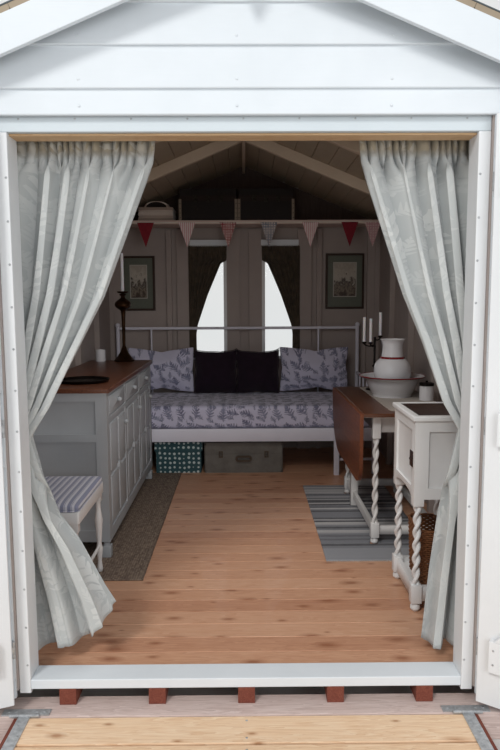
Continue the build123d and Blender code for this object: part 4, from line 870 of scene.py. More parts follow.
def bag(name, width, height, depth, seed):
    """A flat bag, its cut outline and the order of the points round its rim."""
    nx, nz = int(width / 0.0155), int(height / 0.0155)
    form = bmesh.new()
    layers = []
    for face in (-1, 1):
        layer = []
        for i in range(nx + 1):
            column = []
            for j in range(nz + 1):
                a, b = 2 * i / nx - 1, 2 * j / nz - 1
                if face == 1 and (i in (0, nx) or j in (0, nz)):
                    column.append(layers[0][i][j])
                    continue
                bulge = (1 - a ** 4) * (1 - b ** 4) * (1 + 0.1 * ripple(3 * a, 3 * b, seed))
                column.append(form.verts.new((a * width / 2 * 1.03, face * 0.16 * depth * bulge,
                                              b * height / 2 * 1.03)))
            layer.append(column)
        layers.append(layer)
    for face, layer in zip((-1, 1), layers):
        for i in range(nx):
            for j in range(nz):
                quad = (layer[i][j], layer[i + 1][j], layer[i + 1][j + 1], layer[i][j + 1])
                form.faces.new(quad if face < 0 else quad[::-1])
    bmesh.ops.recalc_face_normals(form, faces=form.faces[:])
    mesh = bpy.data.meshes.new(name)
    form.to_mesh(mesh)
    form.free()
    rim = [(i, 0) for i in range(nx)] + [(nx, j) for j in range(nz)]
    rim += [(i, nz) for i in range(nx, 0, -1)] + [(0, j) for j in range(nz, 0, -1)]
    return mesh, [i * (nz + 1) + j for i, j in rim]


def stuffed(name, material, centre, width, height, depth, seed, lean, stands_for, piped=False, ears=0.0,
            slack=0.3):
    """A pillow: a flat bag of cloth, inflated by a cloth simulation and fitted to its place."""
    mesh, rim = bag(name, width, height, depth, seed)
    cut = [v.co.copy() for v in mesh.vertices]
    piece = new_object(name, mesh)
    blown = piece.modifiers.new("blown", "CLOTH")
    put(blown.settings, quality=6, use_pressure=True, uniform_pressure_force=4.0, tension_stiffness=12,
        compression_stiffness=12, shear_stiffness=5, bending_stiffness=0.6)
    blown.settings.effector_weights.gravity = 0
    blown.collision_settings.use_collision = False
    for n in range(1, 21):
        bpy.context.scene.frame_set(n)
    mesh = bpy.data.meshes.new_from_object(piece.evaluated_get(bpy.context.evaluated_depsgraph_get()))
    piece.modifiers.clear()
    piece.data = mesh
    bpy.context.scene.frame_set(1)
    for v, flat in zip(mesh.vertices, cut):
        v.co.x += (flat.x - v.co.x) * (1 - slack)
        v.co.z += (flat.z - v.co.z) * (1 - slack)
    lows = [min(v.co[k] for v in mesh.vertices) for k in range(3)]
    highs = [max(v.co[k] for v in mesh.vertices) for k in range(3)]
    spin = Matrix.Rotation(lean, 3, "X")
    for v in mesh.vertices:
        q = Vector([(v.co[k] - (lows[k] + highs[k]) / 2) * size / (highs[k] - lows[k])
                    for k, size in enumerate((width, depth, height))])
        a, b = q.x / (width / 2), q.z / (height / 2)
        q.z += ears * height * (abs(a) ** 6) * max(0.0, b) ** 2
        q.y += 0.006 * ripple(q.x * 7, q.z * 7, seed) * (1 - min(1, abs(a)) ** 4)
        v.co = spin @ q + Vector(centre)
        if v.co.z < BED_TOP + 0.02:
            v.co.z = BED_TOP + 0.02 * math.exp((v.co.z - BED_TOP - 0.02) / 0.02) * 0.98
    padded(piece, material, stands_for)
    if piped:
        edge = Shape()
        edge.tube([mesh.vertices[k].co for k in rim], 0.0032, 6, closed=True)
        edge.make(name + "_piping", material, smooth=180)


def padded(piece, material, stands_for):
    """Finishes a padded piece with its cloth and rounder faces."""
    piece.data.shade_smooth()
    piece.data.materials.clear()
    piece.data.materials.append(material)
    put(piece.modifiers.new("finer", "SUBSURF"), levels=1, render_levels=1)
    settle(piece, stands_for)


stuffed("pillow_left", bed_cloth, (-0.72, 1.61, 0.926), 0.575, 0.396, 0.145, 2.0, -0.04, ["pillows"])
stuffed("pillow_right", bed_cloth, (0.595, 1.61, 0.926), 0.605, 0.396, 0.145, 5.0, -0.04, ["pillows"])
stuffed("cushion_left", velvet, (-0.247, 1.545, 0.912), 0.366, 0.362, 0.125, 8.0, -0.06, ["cushions"],
        piped=True, ears=0.05, slack=0.25)
stuffed("cushion_right", velvet, (0.108, 1.53, 0.914), 0.366, 0.362, 0.125, 11.0, -0.06, ["cushions"],
        piped=True, ears=0.06, slack=0.25)


def soft_block(name, material, low, high, steps, edge, crown, crease, seed, stands_for):
    """A padded block with rounded edges, a slight crown on top and creases in its cover."""
    form = bmesh.new()
    half = [(h - l) / 2 for l, h in zip(low, high)]
    middle = Vector([(l + h) / 2 for l, h in zip(low, high)])
    bmesh.ops.create_cube(form, size=1.0)
    for axis, count in enumerate(steps):
        normal = Vector([axis == k for k in range(3)])
        for n in range(1, count):
            bmesh.ops.bisect_plane(form, geom=form.verts[:] + form.edges[:] + form.faces[:],
                                   plane_co=normal * (n / count - 0.5), plane_no=normal)
    for v in form.verts:
        p = [c * 2 * h for c, h in zip(v.co, half)]
        q = Vector([max(-h + edge, min(h - edge, c)) for c, h in zip(p, half)])
        away = Vector(p) - q
        if away.length > 1e-9:
            q += away.normalized() * edge
        a, b, c = (q[k] / half[k] for k in range(3))
        q.z -= crown * (1 - (1 - a ** 6) * (1 - b ** 6)) * max(0.0, c)
        inward = crease * (0.5 + 0.5 * ripple(q.x * 5, q.y * 5, q.z * 9 + seed))
        inward += crease * 0.7 * max(0.0, ripple(q.x * 2.2 + q.z * 3, q.y * 11, seed + 4))
        side = Vector((a ** 5, b ** 5, max(0.0, q.z / half[2]) ** 5))
        if side.length > 1e-6:
            q -= side.normalized() * inward * min(1.0, side.length)
        v.co = q + middle
    mesh = bpy.data.meshes.new(name)
    form.to_mesh(mesh)
    form.free()
    padded(new_object(name, mesh), material, stands_for)


soft_block("mattress_cover", bed_cloth, (-1.0895, 0.9425, 0.5405), (0.9695, 1.755, 0.725), (90, 36, 10), 0.03,
           0.012, 0.006, 3.0, ["mattress"])

look = Look("ticking", rough=0.85, sheen=0.2)
across = (look.x * 33.0).fract()
look.colour(look.mix((abs(across - 0.5) < 0.24) | (abs(across - 0.86) < 0.04), "c6c6cf", "85889e"))
look.weave(600, "Y")
soft_block("stool_cushion", look.material, (-0.997, -1.361, 0.6365), (-0.703, -0.879, 0.6755), (30, 44, 6),
           0.014, 0.01, 0.002, 7.0, ["stool_seat"])
band = Shape()
(x0, x1), (y0, y1), cut = (-0.9975, -0.7025), (-1.3615, -0.8785), 0.02
band.tube([(x, y, 0.6405) for x, y in (
    (x0 + cut, y0), (x1 - cut, y0), (x1, y0 + cut), (x1, y1 - cut), (x1 - cut, y1), (x0 + cut, y1),
    (x0, y1 - cut), (x0, y0 + cut))], 0.0035, 6, closed=True)
band.make("stool_piping", look.material, smooth=180)

# Window glass and furniture

look = Look("window_pane", rough=0.04)
look.inputs["Transmission Weight"].default_value = 1.0
look.inputs["IOR"].default_value = 1.12
look.colour(look.mix(look.noise(3, 2), "f4f8f8", "fdfefe"))
look.rough(look.noise(9, 3) * 0.04)
wear(look.material, "window_glass")


def inside(*spans):
    """1 where each value lies between its low and high limit, otherwise 0."""
    mask = 1.0
    for value, low, high in spans:
        mask = value.between(low, high) * mask
    return mask


def furniture(node, name, paint, dirt, tones, mask_of):
    """Painted furniture that turns to varnished wood inside a mask."""
    look = Look(name, rough=0.42)
    strokes = look.noise(6, 4, 0.6, stretch=drawn_out("Z", 1.5, 26))
    cloud = look.noise(2.3, 4, 0.6).ramp((0.35, 0.0), (0.75, 0.6))
    rings = look.noise(5, 3, 0.5, vector=look.place.scaled(drawn_out("Y", 0.55, 9)), warp=0.8)
    tone = (rings * 6.0).fract() * 0.6 + strokes * 0.4
    wood = tone.ramp((0.1, tones[0]), (0.5, tones[1]), (0.95, tones[2]))
    mask = mask_of(look)
    look.colour(look.mix(mask, look.mix(strokes * 0.2 + cloud, paint, dirt), wood))
    look.rough(strokes * 0.16 + 0.36 - mask * 0.08)
    look.bump(strokes, 0.0005, 0.5)
    wear(look.material, node)


furniture("sideboard", "sideboard_finish", "a8acb0", "92979b", ("40241a", "5e3929", "774b37"),
          lambda look: look.z > 1.0545)
furniture("drop_leaf_table", "table_finish", "dfdfdf", "c5c2bd", ("3a1f14", "52301f", "6a422b"),
          lambda look: look.z > 0.9005)
furniture("side_cabinet", "cabinet_finish", "e2e3e4", "c9c8c5", ("1d0f0c", "2a1712", "3a221a"),
          lambda look: inside((look.x, 0.729, 1.101), (look.y, -1.337, -0.995), (look.z, 1.0335, 1.04))
          | inside((look.x, 0.6, 0.7092), (look.z, 0.75, 0.95)))

# Trunks: dark board with a band at the seam, pale corner strips, latches and rivets
look = Look("trunk_board", rough=0.55)
skin = look.noise(90, 4, 0.65)
base = look.mix(skin * 0.5, "141011", "221b1a")
base = look.mix(look.noise(12, 5, 0.7).ramp((0.6, 0.0), (0.72, 0.8)) * 0.35, base, "5a4a3e")
base = look.mix(look.z.between(2.33, 2.374) * 0.45, base, "2f1c17")
corners = 0.0
for x in (-0.525, -0.065, -0.04, 0.405):
    corners = look.x.between(x - 0.0112, x + 0.0112) | corners
look.colour(look.mix(corners * (look.y < 1.5075) * 0.9, base, "8d8173"))
look.rough(skin * 0.25 + 0.45)
look.bump(skin + look.cells(160), 0.0004, 0.6)
wear(look.material, "trunks")
latches = Shape()
for x0, x1 in ((-0.53, -0.06), (-0.045, 0.41)):
    for x in (x0 + 0.13, (x0 + x1) / 2, x1 - 0.13):
        latches.plank((x - 0.017, 1.5032, 2.322), (x + 0.017, 1.5085, 2.378), "Z", 0.0015)
        latches.plank((x - 0.008, 1.5, 2.334), (x + 0.008, 1.504, 2.366), "Z", 0.0012)
    for x in (x0 + 0.005, x1 - 0.005):
        for n in range(4):
            latches.dome((x, 1.504, 2.195 + 0.038 * n), (0, -1, 0), 0.004, 0.4)
    for n in range(13):
        latches.dome((x0 + 0.03 + (x1 - x0 - 0.06) * n / 12, 1.508, 2.322), (0, -1, 0), 0.0034, 0.4)
latches.make("trunk_latches", metal("latch_steel", "4a4742", "2a2826", rough=0.45), smooth=40)

# Folded linen: five layers of two folds each, with a rolled towel on top
LINEN_Z, LAYER = 2.172, 0.0223
TOWEL_X, TOWEL_Z = -0.7225, 2.284
rolls = []
for n, start in enumerate((0.0, 0.006, 0.003, 0.008, 0.005)):
    for m in range(2):
        inset, seed, half = start + 0.002 * m, 3 * n + m, 0.0109 / 2
        x0, x1, y0, y1 = -0.875 + inset, -0.58 - inset, 1.508 + inset, 1.78
        rows = []
        for t in parts(24):
            x = x0 + (x1 - x0) * t
            ease = 0.94 * (1 - 0.35 * (abs(2 * t - 1) ** 8))
            row = []
            for s in parts(40)[:-1]:
                bend = math.pi * (s - 0.36) / 0.28
                y, z = y0 + half - half * math.sin(bend), half * math.cos(bend)
                if s < 0.36:
                    y, z = y1 + (y0 + half - y1) * s / 0.36, half
                elif s >= 0.64:
                    y, z = y0 + half + (y1 - y0 - half) * (s - 0.64) / 0.36, -half
                z = (z + 0.0013 * ripple(7 * x, 6 * y, seed + z * 20)) * ease + half
                row.append((x, y + 0.002 * ripple(5 * x, 0, seed), LINEN_Z + n * LAYER + m * 0.0111 + z))
            rows.append(row)
        rolls.append(rows)
rows = []
for t in parts(30):
    y = 1.528 + 0.235 * t
    row = []
    for angle in [math.pi * s for s in parts(35)]:
        puff = 1 - 0.1 * abs(2 * t - 1) ** 6 + 0.03 * ripple(3 * angle, 6 * y, 2.0)
        row.append((TOWEL_X - 0.108 * math.cos(angle) * puff, y, TOWEL_Z + 0.055 * math.sin(angle) * puff))
    rows.append(row + [(TOWEL_X + 0.103 - 0.206 * s, y, TOWEL_Z - 0.0002) for s in parts(11)])
rolls.append(rows)
linen = Shape()
for rows in rolls:
    linen.skin(rows, closed=True)
    for end in (rows[0], rows[-1]):
        linen.add(end, [list(range(len(end)))])
look = Look("linen_stack_cloth", rough=0.9, sheen=0.2)
layer = ((look.z - LINEN_Z) / LAYER).floor().chance()
tone = layer.ramp((0.0, "a59085"), (0.3, "dacbc2"), (0.55, "8f7c72"), (0.8, "e2d7cf"))
tone = look.mix(look.noise(14, 3) * 0.6, tone, "c3b2a5")
# The front end of the rolled towel is painted near-black inside its rim: painted shade in the hollow of the
# roll.
arch = ((look.x - TOWEL_X) / 0.083) ** 2.0 + ((look.z - TOWEL_Z) / 0.043) ** 2.0
look.colour(look.mix((arch < 1.0) * (look.z > TOWEL_Z + 0.0005) * (look.y < 1.532), tone, "1d1817"))
look.bump(look.waves(500, "X") * look.waves(500, "Z"), 0.0004, 0.5)
linen.make("folded_linen", look.material, stands_for=["linen_stack"], smooth=60)

# Bunting: a tape with seven cotton flags
rows = [[(-1.133 + 2.266 * s, 1.4821, 2.16 - 0.0102 * v) for s in parts(200)] for v in parts(4)]
tape = sheet("bunting_tape", linen_white, rows, 0.0102, 2.266, "stretched", ["high_shelf"], 0.0006,
             ["bunting"], smooth=None)
for number, (x, shade, kind) in enumerate((
    (-0.808, "8f2733", ""), (-0.468, "d29aa3", "stripes"), (-0.131, "8f2938", "dots"),
    (0.205, "6f7c8c", "dots"), (0.546, "d29aa3", "stripes"), (0.87, "862230", ""), (1.06, "c08893", "dots"),
)):
    look = Look("flag_cotton_%d" % number, rough=0.85, sheen=0.15)
    base = look.patches(30, 0.3, 0.7, shade, "d8c3bd" if kind else "651a25", most=0.45)
    if kind == "stripes":
        base = look.mix((look.x * 62).fract() < 0.5, base, "e6dcd8")
    if kind == "dots":
        base = look.mix(look.cells(48, spread=0.15) < 0.28, base, "ded2cb")
    look.colour(base)
    look.weave(600)
    rows = []
    for v in parts(24):
        half = 0.0695 * (1 - v) + 0.0004
        row = []
        for s in [2 * t - 1 for t in parts(16)]:
            wave = 0.0032 * math.sin(3.1 * s * half / 0.07 + number * 1.7) * (0.25 + v)
            wave += 0.0015 * ripple(9 * s, 7 * v, number)
            row.append((x + s * half, 1.4809 - abs(wave) * 1.1, 2.1545 - 0.199 * v))
        rows.append(row)
    sheet("bunting_flag_%d" % number, look.material, rows, 0.14, 0.2, "hung", [tape], 0.0008, ["bunting"],
          area=0.0141)

# Framed pictures: dark frame, grey-green mat, and a made-up shore scene in each
look = Look("framed_picture", rough=0.35)
base = look.mix(look.noise(30, 3, stretch=(1, 1, 6)), "2a1f18", "45342a")
for number, (x, z, width, height) in enumerate(((-0.935, 1.67, 0.29, 0.482), (0.891, 1.682, 0.344, 0.49))):
    blur = look.noise(16 + 6 * number, 5, 0.65, stretch=(1.6, 1, 1))
    rise = (look.z - (z - height / 2 + 0.085)) / (height - 0.17) + (blur - 0.5) * 1.5
    shore = rise.ramp((0.1, "4a4038"), (0.3, "8a7f72"), (0.42, "3f3833"), (0.62, "b9b2a6"), (0.95, "a49c90"))
    mat = look.mix(look.noise(60, 2), "5d6258", "6a6f64")
    for tone, side, low, high in (
        (mat, 0.0205, 0.0205, 0.0205), ("b3b0a8", 0.068, 0.108, 0.078), (shore, 0.075, 0.115, 0.085),
    ):
        base = look.mix(inside((look.x, x - width / 2 + side, x + width / 2 - side),
                               (look.z, z - height / 2 + low, z + height / 2 - high)), base, tone)
look.colour(base)
look.rough(look.noise(30, 2) * 0.15 + 0.3)
wear(look.material, "pictures")

# Storage box in spotted cloth, and a suitcase
look = Look("box_and_case", rough=0.75)
grain = look.noise(70, 4, 0.6)
case = look.patches(8, 0.35, 0.75, "6f6e6b", "555452", 4, 0.7)
case = look.mix(grain * 0.3, case, "857a6b")
case = look.mix((look.y < 0.9925) * 0.8, case, "4a3a2c")
dots = look.cells(27, look.joined(look.x, look.y + look.z), spread=0.25) < 0.28
felt = look.mix(dots, look.mix(grain * 0.5, "36565c", "284249"), "c3cfce")
look.colour(look.mix(look.x < -0.3275, case, felt))
look.rough(grain * 0.3 + 0.55)
look.bump(grain, 0.0006, 0.6)
wear(look.material, "under_bed_boxes")
fittings = Shape()
for x in (-0.19, 0.165):
    fittings.plank((x - 0.011, 0.9855, 0.312), (x + 0.011, 0.989, 0.342), "Z", 0.001)
    for z in (0.308, 0.346):
        fittings.dome((x, 0.988, z), (0, -1, 0), 0.003, 0.5)
for x in (-0.31, 0.285):
    for z in (0.195, 0.405):
        fittings.dome((x, 0.9942, z), (0, -1, 0), 0.006, 0.4, 10)
fittings.make("case_fittings", metal("clasp_steel", "6a6863", "3f3d3a", rough=0.42, metallic=0.8), smooth=40)

# Tableware: wash bowl with red rims, jug, canister, candlesticks, mug and tray
BOWL_X, BOWL_Y = 0.922, 0.047
look = Look("white_enamel", rough=0.22, coat=0.5)
away = ((look.x - BOWL_X) ** 2.0 + (look.y - BOWL_Y) ** 2.0).root()
red = (away > 0.197) * look.z.between(1.03, 1.06) | (away < 0.13) * look.z.between(1.1545, 1.1675)
look.colour(look.mix(red, look.patches(7, 0.35, 0.8, "dfe0e4", "c9cacf", most=0.5), "7c1f26"))
look.rough(look.noise(20, 3) * 0.12 + 0.16)
look.bump(look.noise(26, 2), 0.0006, 0.3)
enamel = look.material
look = Look("candle_wax", rough=0.45)
look.colour(look.mix(look.noise(14, 3), "e6e6ea", "d8d8dd"))
look.inputs["Subsurface Weight"].default_value = 0.2
look.inputs["Subsurface Scale"].default_value = 0.01
look.bump(look.noise(40, 3), 0.0006, 0.4)
wax = look.material
look = Look("mug_china", rough=0.25, coat=0.3)
look.colour(look.mix(look.noise(8, 3), "dcdcdf", "cfcfd3"))
look.bump(look.noise(30, 2), 0.0004, 0.3)
china = look.material
tray_metal = metal("tray_metal", "2c2725", "191513", rough=0.38, spots=30, metallic=0.8)
bronze = metal("candlestick_bronze", "4a3320", "23170e", rough=0.3, spots=24, metallic=0.85)


def finer_outline(points, steps=5):
    """A smooth curve through an outline's points that keeps the points themselves."""
    result = []
    last = len(points) - 1
    for i in range(last):
        near = [points[max(0, min(last, i + k))] for k in (-1, 0, 1, 2)]
        for t in parts(steps)[:-1]:
            result.append([
                b + 0.5 * t * (c - a + t * (2 * a - 5 * b + 4 * c - d + t * (3 * b - a - 3 * c + d)))
                for a, b, c, d in zip(*near)])
    return result + [points[-1]]


def thrown(name, material, x, y, z, points, steps=64):
    """A turned piece, from its outline of radius and height in millimetres."""
    shape = Shape()
    shape.lathe((x, y, z), [(max(0.0002, r * 0.001), h * 0.001) for r, h in finer_outline(points)], steps)
    shape.make(name, material, stands_for=["tableware"], smooth=40)


TABLE, BOARD = 0.92, 1.079
thrown("wash_bowl", enamel, BOWL_X, BOWL_Y, TABLE + 0.0008, (
    (0, 0), (112, 0), (118, 1), (121, 8), (124, 16), (136, 38), (148, 62), (156, 84), (166, 103), (184, 115),
    (200, 121), (204.5, 124), (205, 127), (202, 129.5), (186, 122), (163, 111), (151, 86), (142, 62),
    (130, 36), (116, 17), (0, 16)))
thrown("jug", enamel, BOWL_X, BOWL_Y, TABLE + 0.0008, (
    (0, 16.3), (66, 16.3), (71, 18), (74, 27), (86, 58), (102, 96), (112, 132), (114.5, 158), (112, 184),
    (104, 206), (90, 224), (75, 236), (69, 246), (66, 262), (63, 285), (62.5, 305), (65, 328), (71, 344),
    (76, 351), (75, 354), (71, 351), (62, 333), (58, 305), (59, 280), (64, 250), (86, 222), (104, 196),
    (109, 168), (108, 140), (97, 98), (70, 38), (0, 32)))
rings = Shape()
for radius, height, thick in ((0.0727, 1.161, 0.0042), (0.0755, 1.2735, 0.0022)):
    rings.tube([(BOWL_X + radius * math.cos(angle), BOWL_Y + radius * math.sin(angle), height)
                for angle in circle(48)], thick, closed=True)
rings.make("jug_rings", enamel, stands_for=["tableware"], smooth=180)
grip = Shape()
grip.tube([(BOWL_X, BOWL_Y + 0.104 + 0.054 * math.cos(angle), TABLE + 0.235 + 0.085 * math.sin(angle))
           for angle in [math.radians(104 - 208 * t) for t in parts(24)]], 0.0072, 10, flat=0.75)
grip.make("jug_handle", enamel, stands_for=["tableware"], smooth=60)
thrown("canister", china, 1.086, -0.15, TABLE, (
    (0, 0), (38, 0), (41, 1), (42, 5), (42.5, 40), (42, 84), (41, 88), (0, 88)))
thrown("canister_lid", tray_metal, 1.086, -0.15, TABLE, (
    (0, 88.3), (41, 88.3), (43, 91), (43, 101), (40, 106), (20, 108), (9, 109), (7, 112), (8, 116),
    (5, 117.5), (0, 118)))
thrown("candlestick", bronze, -0.883, 0.789, BOARD, (
    (0, 0), (70, 0), (74, 3), (73, 9), (66, 14), (62, 22), (48, 38), (34, 60), (22, 84), (18, 98), (13, 110),
    (12, 126), (12.5, 240), (14, 300), (17, 350), (20, 356), (17, 362), (26, 375), (44, 386), (56, 398),
    (60, 412), (56, 428), (42, 442), (26, 453), (16, 462), (14, 474), (23, 480), (25, 486), (15, 492),
    (34, 496), (41, 502), (42, 508), (30, 509), (0, 509)))
thrown("tall_candle", wax, -0.883, 0.789, BOARD, (
    (0, 505), (11, 505), (11, 560), (10.8, 640), (10.6, 770), (9, 776), (3, 777), (1, 779), (0, 779)), 24)
thrown("mug", china, -1.055, 0.78, BOARD, (
    (0, 0), (31, 0), (34, 2), (35, 8), (35, 60), (35, 82), (34, 85), (32, 83), (32, 60), (31.5, 12), (28, 5),
    (0, 5)))
thrown("round_tray", tray_metal, -0.884, -0.45, BOARD, (
    (0, 0), (122, 0), (130, 1), (136, 8), (139.5, 15), (138, 16.5), (134, 10), (127, 4.5), (60, 4), (0, 4)))
HOLDER_X, HOLDER_Y = 0.865, 0.33
thrown("candle_holder_stem", iron, HOLDER_X, HOLDER_Y, TABLE, (
    (0, 0), (50, 0), (56, 2), (54, 8), (38, 13), (22, 20), (12, 30), (8, 42), (7, 90), (7.5, 148), (14, 155),
    (15, 161), (9, 170), (7, 182), (7.5, 300), (8, 348), (5, 352), (0, 352)), 40)
arms = Shape()
for number, (across, along, rise, length) in enumerate(
        ((-0.07, 0.0, 0.311, 172), (-0.035, -0.04, 0.311, 164), (0.042, 0.03, 0.35, 165))):
    arms.tube([(HOLDER_X + across * t, HOLDER_Y + along * t,
                TABLE + rise - 0.007 - 0.014 * math.sin(math.pi * t) * (1 - 0.3 * t))
               for t in parts(12)], 0.0044)
    end = (HOLDER_X + across, HOLDER_Y + along, TABLE + rise)
    thrown("candle_cup_%d" % number, iron, *end, (
        (0, -6), (6, -5), (9, -1), (16.5, 3), (17, 5), (15, 6), (12.2, 4), (12, 11.5), (10, 12), (0, 12)), 28)
    thrown("candle_%d" % number, wax, *end, (
        (0, 6), (9.8, 6), (9.9, 40), (9.6, length - 10), (8.5, length - 4), (2, length - 3), (1, length),
        (0, length)), 20)
arms.make("candle_holder_arms", iron, stands_for=["tableware"], smooth=60)

# Baskets: woven round upright stakes, with a plaited rim and a plain floor
look = Look("wicker", rough=0.7)
strand = look.noise(55, 3, 0.6, stretch=(1, 1, 8))
look.colour(look.mix(look.noise(9, 3) * 0.6 + strand * 0.4, "4a2c1c", "8a5c3c"))
look.bump(strand, 0.0006, 0.6)
wicker = look.material
BASKET_Y, BASKET_Z = -1.166, 0.2683
CORNER, FLARE = 0.03, math.tan(math.radians(2))
STAKES, POINTS = 44, 132


def rim_point(half, t):
    """A point on a rounded outline, at a part t of the way round, and its outward direction."""
    straight = [2 * (size - CORNER) for size in half]
    arc = math.pi / 2 * CORNER
    s = t % 1.0 * (2 * sum(straight) + 4 * arc)
    for k in range(4):
        run, reach = straight[k % 2], half[1 - k % 2]
        angle = k * math.pi / 2
        ahead = Vector((math.cos(angle), math.sin(angle)))
        out = Vector((math.sin(angle), -math.cos(angle)))
        if s <= run:
            return ahead * (s - run / 2) + out * reach, out
        if s <= run + arc:
            bend = angle + (s - run) / CORNER
            turned = Vector((math.sin(bend), -math.cos(bend)))
            return ahead * (run / 2) + out * (reach - CORNER) + turned * CORNER, turned
        s -= run + arc
    return rim_point(half, 0.0)


for name, x0, x1, height in (("basket_left", 0.758, 0.893, 0.25), ("basket_right", 0.912, 1.062, 0.215)):
    middle = Vector(((x0 + x1) / 2, BASKET_Y))

    def around(lift, t, swell=0.0):
        """A point of the basket's side at a height, moved outward by swell."""
        grow = lift * FLARE - 0.005
        p, out = rim_point(((x1 - x0) / 2 - 0.01 + grow, 0.115 + grow), t)
        return middle + p + out * swell

    shape = Shape()
    for r in range(int(height / 0.0092)):
        lift = 0.004 + r * 0.0092
        shape.tube([(*around(lift, n / POINTS, 0.0026 * math.cos(math.pi * (n * STAKES / POINTS + r))),
                     BASKET_Z + lift + 0.0006 * ripple(n * 0.3, r, 1.0)) for n in range(POINTS)],
                   0.0042, 5, closed=True)
    for n in range(STAKES):
        t = (n + 0.5) / STAKES
        ends = (*around(0.0, t), BASKET_Z + 0.001), (*around(height, t), BASKET_Z + height - 0.006)
        shape.tube(ends, 0.0022, 5)
    for lift, phase in ((-0.006, 0.0), (-0.004, 0.5)):
        turns = [math.tau * (n * 11 / POINTS + phase) for n in range(POINTS)]
        shape.tube([(*around(height, n / POINTS, 0.0028 * math.cos(turn)),
                     BASKET_Z + height + lift + 0.0022 * math.sin(turn)) for n, turn in enumerate(turns)],
                   0.0045, 6, closed=True)
    x0, x1, y0, y1, z = x0 + 0.016, x1 - 0.016, BASKET_Y - 0.105, BASKET_Y + 0.105, BASKET_Z + 0.0005
    shape.prism([(x0, y0, z), (x1, y0, z), (x1, y1, z), (x0, y1, z)], (0, 0, 0.0055))
    shape.make(name, wicker, stands_for=["baskets"], smooth=60)

# Lace cloth on the table, under the bowl
LACE_X = 0.955
look = Look("lace_cloth", rough=0.85, sheen=0.2)
net = look.cells(95, spread=0.1)
edge = abs(look.x - LACE_X) > 0.135
look.colour(look.mix(net.ramp((0.1, 1.0), (0.2, 0.0)) * (edge * 0.2 + 0.72), "9c938a", "463730"))
look.bump(net, 0.0004, 0.5)
rows = []
for i in range(99):
    y = -0.53 + 0.98 * i / 98
    row = []
    for n in range(35):
        s = 2 * n / 34 - 1
        scallop = 0.005 * abs(math.sin(i * math.pi / 7)) * (abs(s) ** 8)
        end = 0.005 * abs(math.sin(n * math.pi / 7)) * ((i < 2) - (i > 96))
        row.append((LACE_X + s * (0.165 + scallop), y - end, 0.9206 + 0.0002 * ripple(s * 6, y * 9)))
    rows.append(row)
sheet("table_lace", look.material, rows, 0.336, 0.986, "laid", ["drop_leaf_table"], 0.0006)

# Floor rugs: a woven seagrass runner and a striped rag rug, lying round the feet that stand in them
look = Look("seagrass_runner", rough=0.9)
lengthwise = look.waves(26, "X", warp=0.8)
knots = ((look.x * 110).floor() * 17.31 + (look.y * 60).floor()).chance()
base = look.mix(knots, "665850", "948576")
base = look.mix(lengthwise * 0.45, base, "574a41")
look.colour(look.mix((abs((look.x * 11.0).fract() - 0.5) < 0.1) * 0.2, base, "5a4c43"))
look.bump(lengthwise + knots, 0.0014, 0.8)
seagrass = look.material
look = Look("rag_rug_cotton", rough=0.9, sheen=0.1)
pick = ((look.y + look.noise(18, 2) * 0.006) * 36.0).floor().chance()
weft = look.waves(95, "Y", warp=1.2)
base = pick.ramp((0.0, "7d7f86"), (0.3, "b4b3b5"), (0.52, "2a2a31"), (0.66, "5b5c64"), (0.8, "cbc9c8"),
                 interpolation="CONSTANT")
base = look.mix(look.y < -0.62, base, "9a9ca2")
base = look.mix(weft * 0.35, base, "45474f")
look.colour(look.mix(look.noise(60, 3) * 0.35, base, "a5a5a8"))
look.bump(weft + look.noise(80, 3), 0.0016, 0.8)
rag = look.material


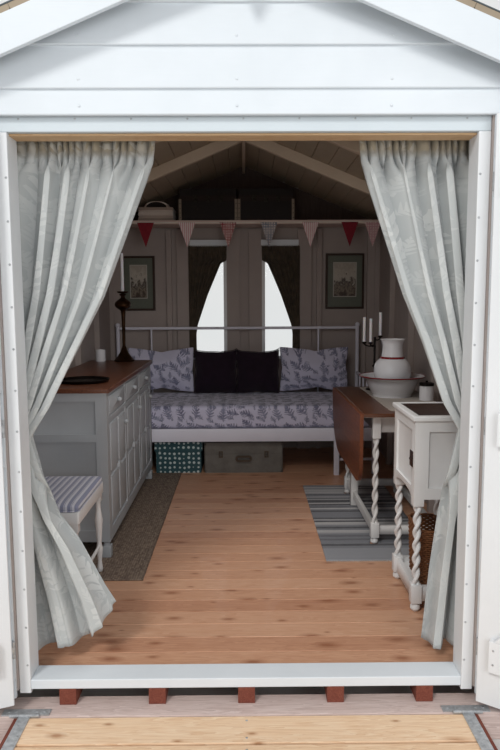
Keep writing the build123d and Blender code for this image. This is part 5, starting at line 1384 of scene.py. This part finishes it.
def floor_rug(name, material, x0, x1, y0, y1, feet, seed):
    """A thick woven sheet lying on the floor, cut out round each foot."""
    nx, ny = int((x1 - x0) / 0.014), int((y1 - y0) / 0.014)
    points = []
    for y in [y0 + (y1 - y0) * v for v in parts(ny)]:
        for s in parts(nx):
            x = x0 + (x1 - x0) * s
            side = abs(0.003 * ripple(9 * y, 0, seed)) * ((s == 1) - (s == 0))
            lift = 0.0012 * ripple(3 * x, 3 * y, seed) + 0.0004 * math.sin(y * 400)
            points.append((x - side, y, 0.184 + lift))
    faces = []
    for i in range(ny):
        for n in range(nx):
            x, y = x0 + (x1 - x0) * (n + 0.5) / nx, y0 + (y1 - y0) * (i + 0.5) / ny
            if not any(abs(x - hx) < hr and abs(y - hy) < hr for hx, hy, hr in feet):
                a = i * (nx + 1) + n
                faces.append((a, a + 1, a + nx + 2, a + nx + 1))
    shape = Shape()
    shape.add(points, faces)
    piece = shape.make(name, material, stands_for=["rugs"], smooth=180)
    thicken(piece, 0.0055)
    return piece


# Each foot is its centre and half the width of its hole
runner_feet = ((-0.73, -0.701, 0.029), (-0.73, 0.839, 0.029), (-0.976, -0.9, 0.012), (-0.724, -0.9, 0.012),
               (-0.82, 0.92, 0.023))
table_feet = ((0.71, -0.539, 0.022), (0.71, 0.15, 0.026), (0.71, 0.418, 0.022))
runner = floor_rug("runner", seagrass, -1.0, -0.495, -1.006, 0.98, runner_feet, 3.0)
rag_rug = floor_rug("rag_rug", rag, 0.415, 1.0, -0.785, 0.605, table_feet, 8.0)
shape = Shape()
for y, out in ((-0.785, -1), (0.605, 1)):
    for n in range(64):
        x = 0.419 + 0.577 * n / 63 + rng.uniform(-0.002, 0.002)
        lean = rng.uniform(-0.006, 0.006)
        bend, tip = (x + lean * 0.4, y + out * 0.006, 0.1835), (x + lean, y + out * 0.0145, 0.1818)
        shape.tube([(x, y, 0.1845), bend, tip], 0.0013, 5)
fringe = shape.make("rag_rug_fringe", linen_white, smooth=60, stands_for=["rugs"])

# A pale studio floor, which isn't part of the object
look = Look("studio_floor", rough=0.8)
look.colour(look.mix(look.noise(3, 3), "d6d6d4", "cdcdcb"))
look.bump(look.noise(60, 3), 0.0003, 0.2)
mesh = bpy.data.meshes.new("studio_floor")
mesh.from_pydata([(-9, -9, -0.0005), (9, -9, -0.0005), (9, 9, -0.0005), (-9, 9, -0.0005)], [], [(0, 1, 2, 3)])
mesh.materials.append(look.material)
new_object("studio_floor", mesh)
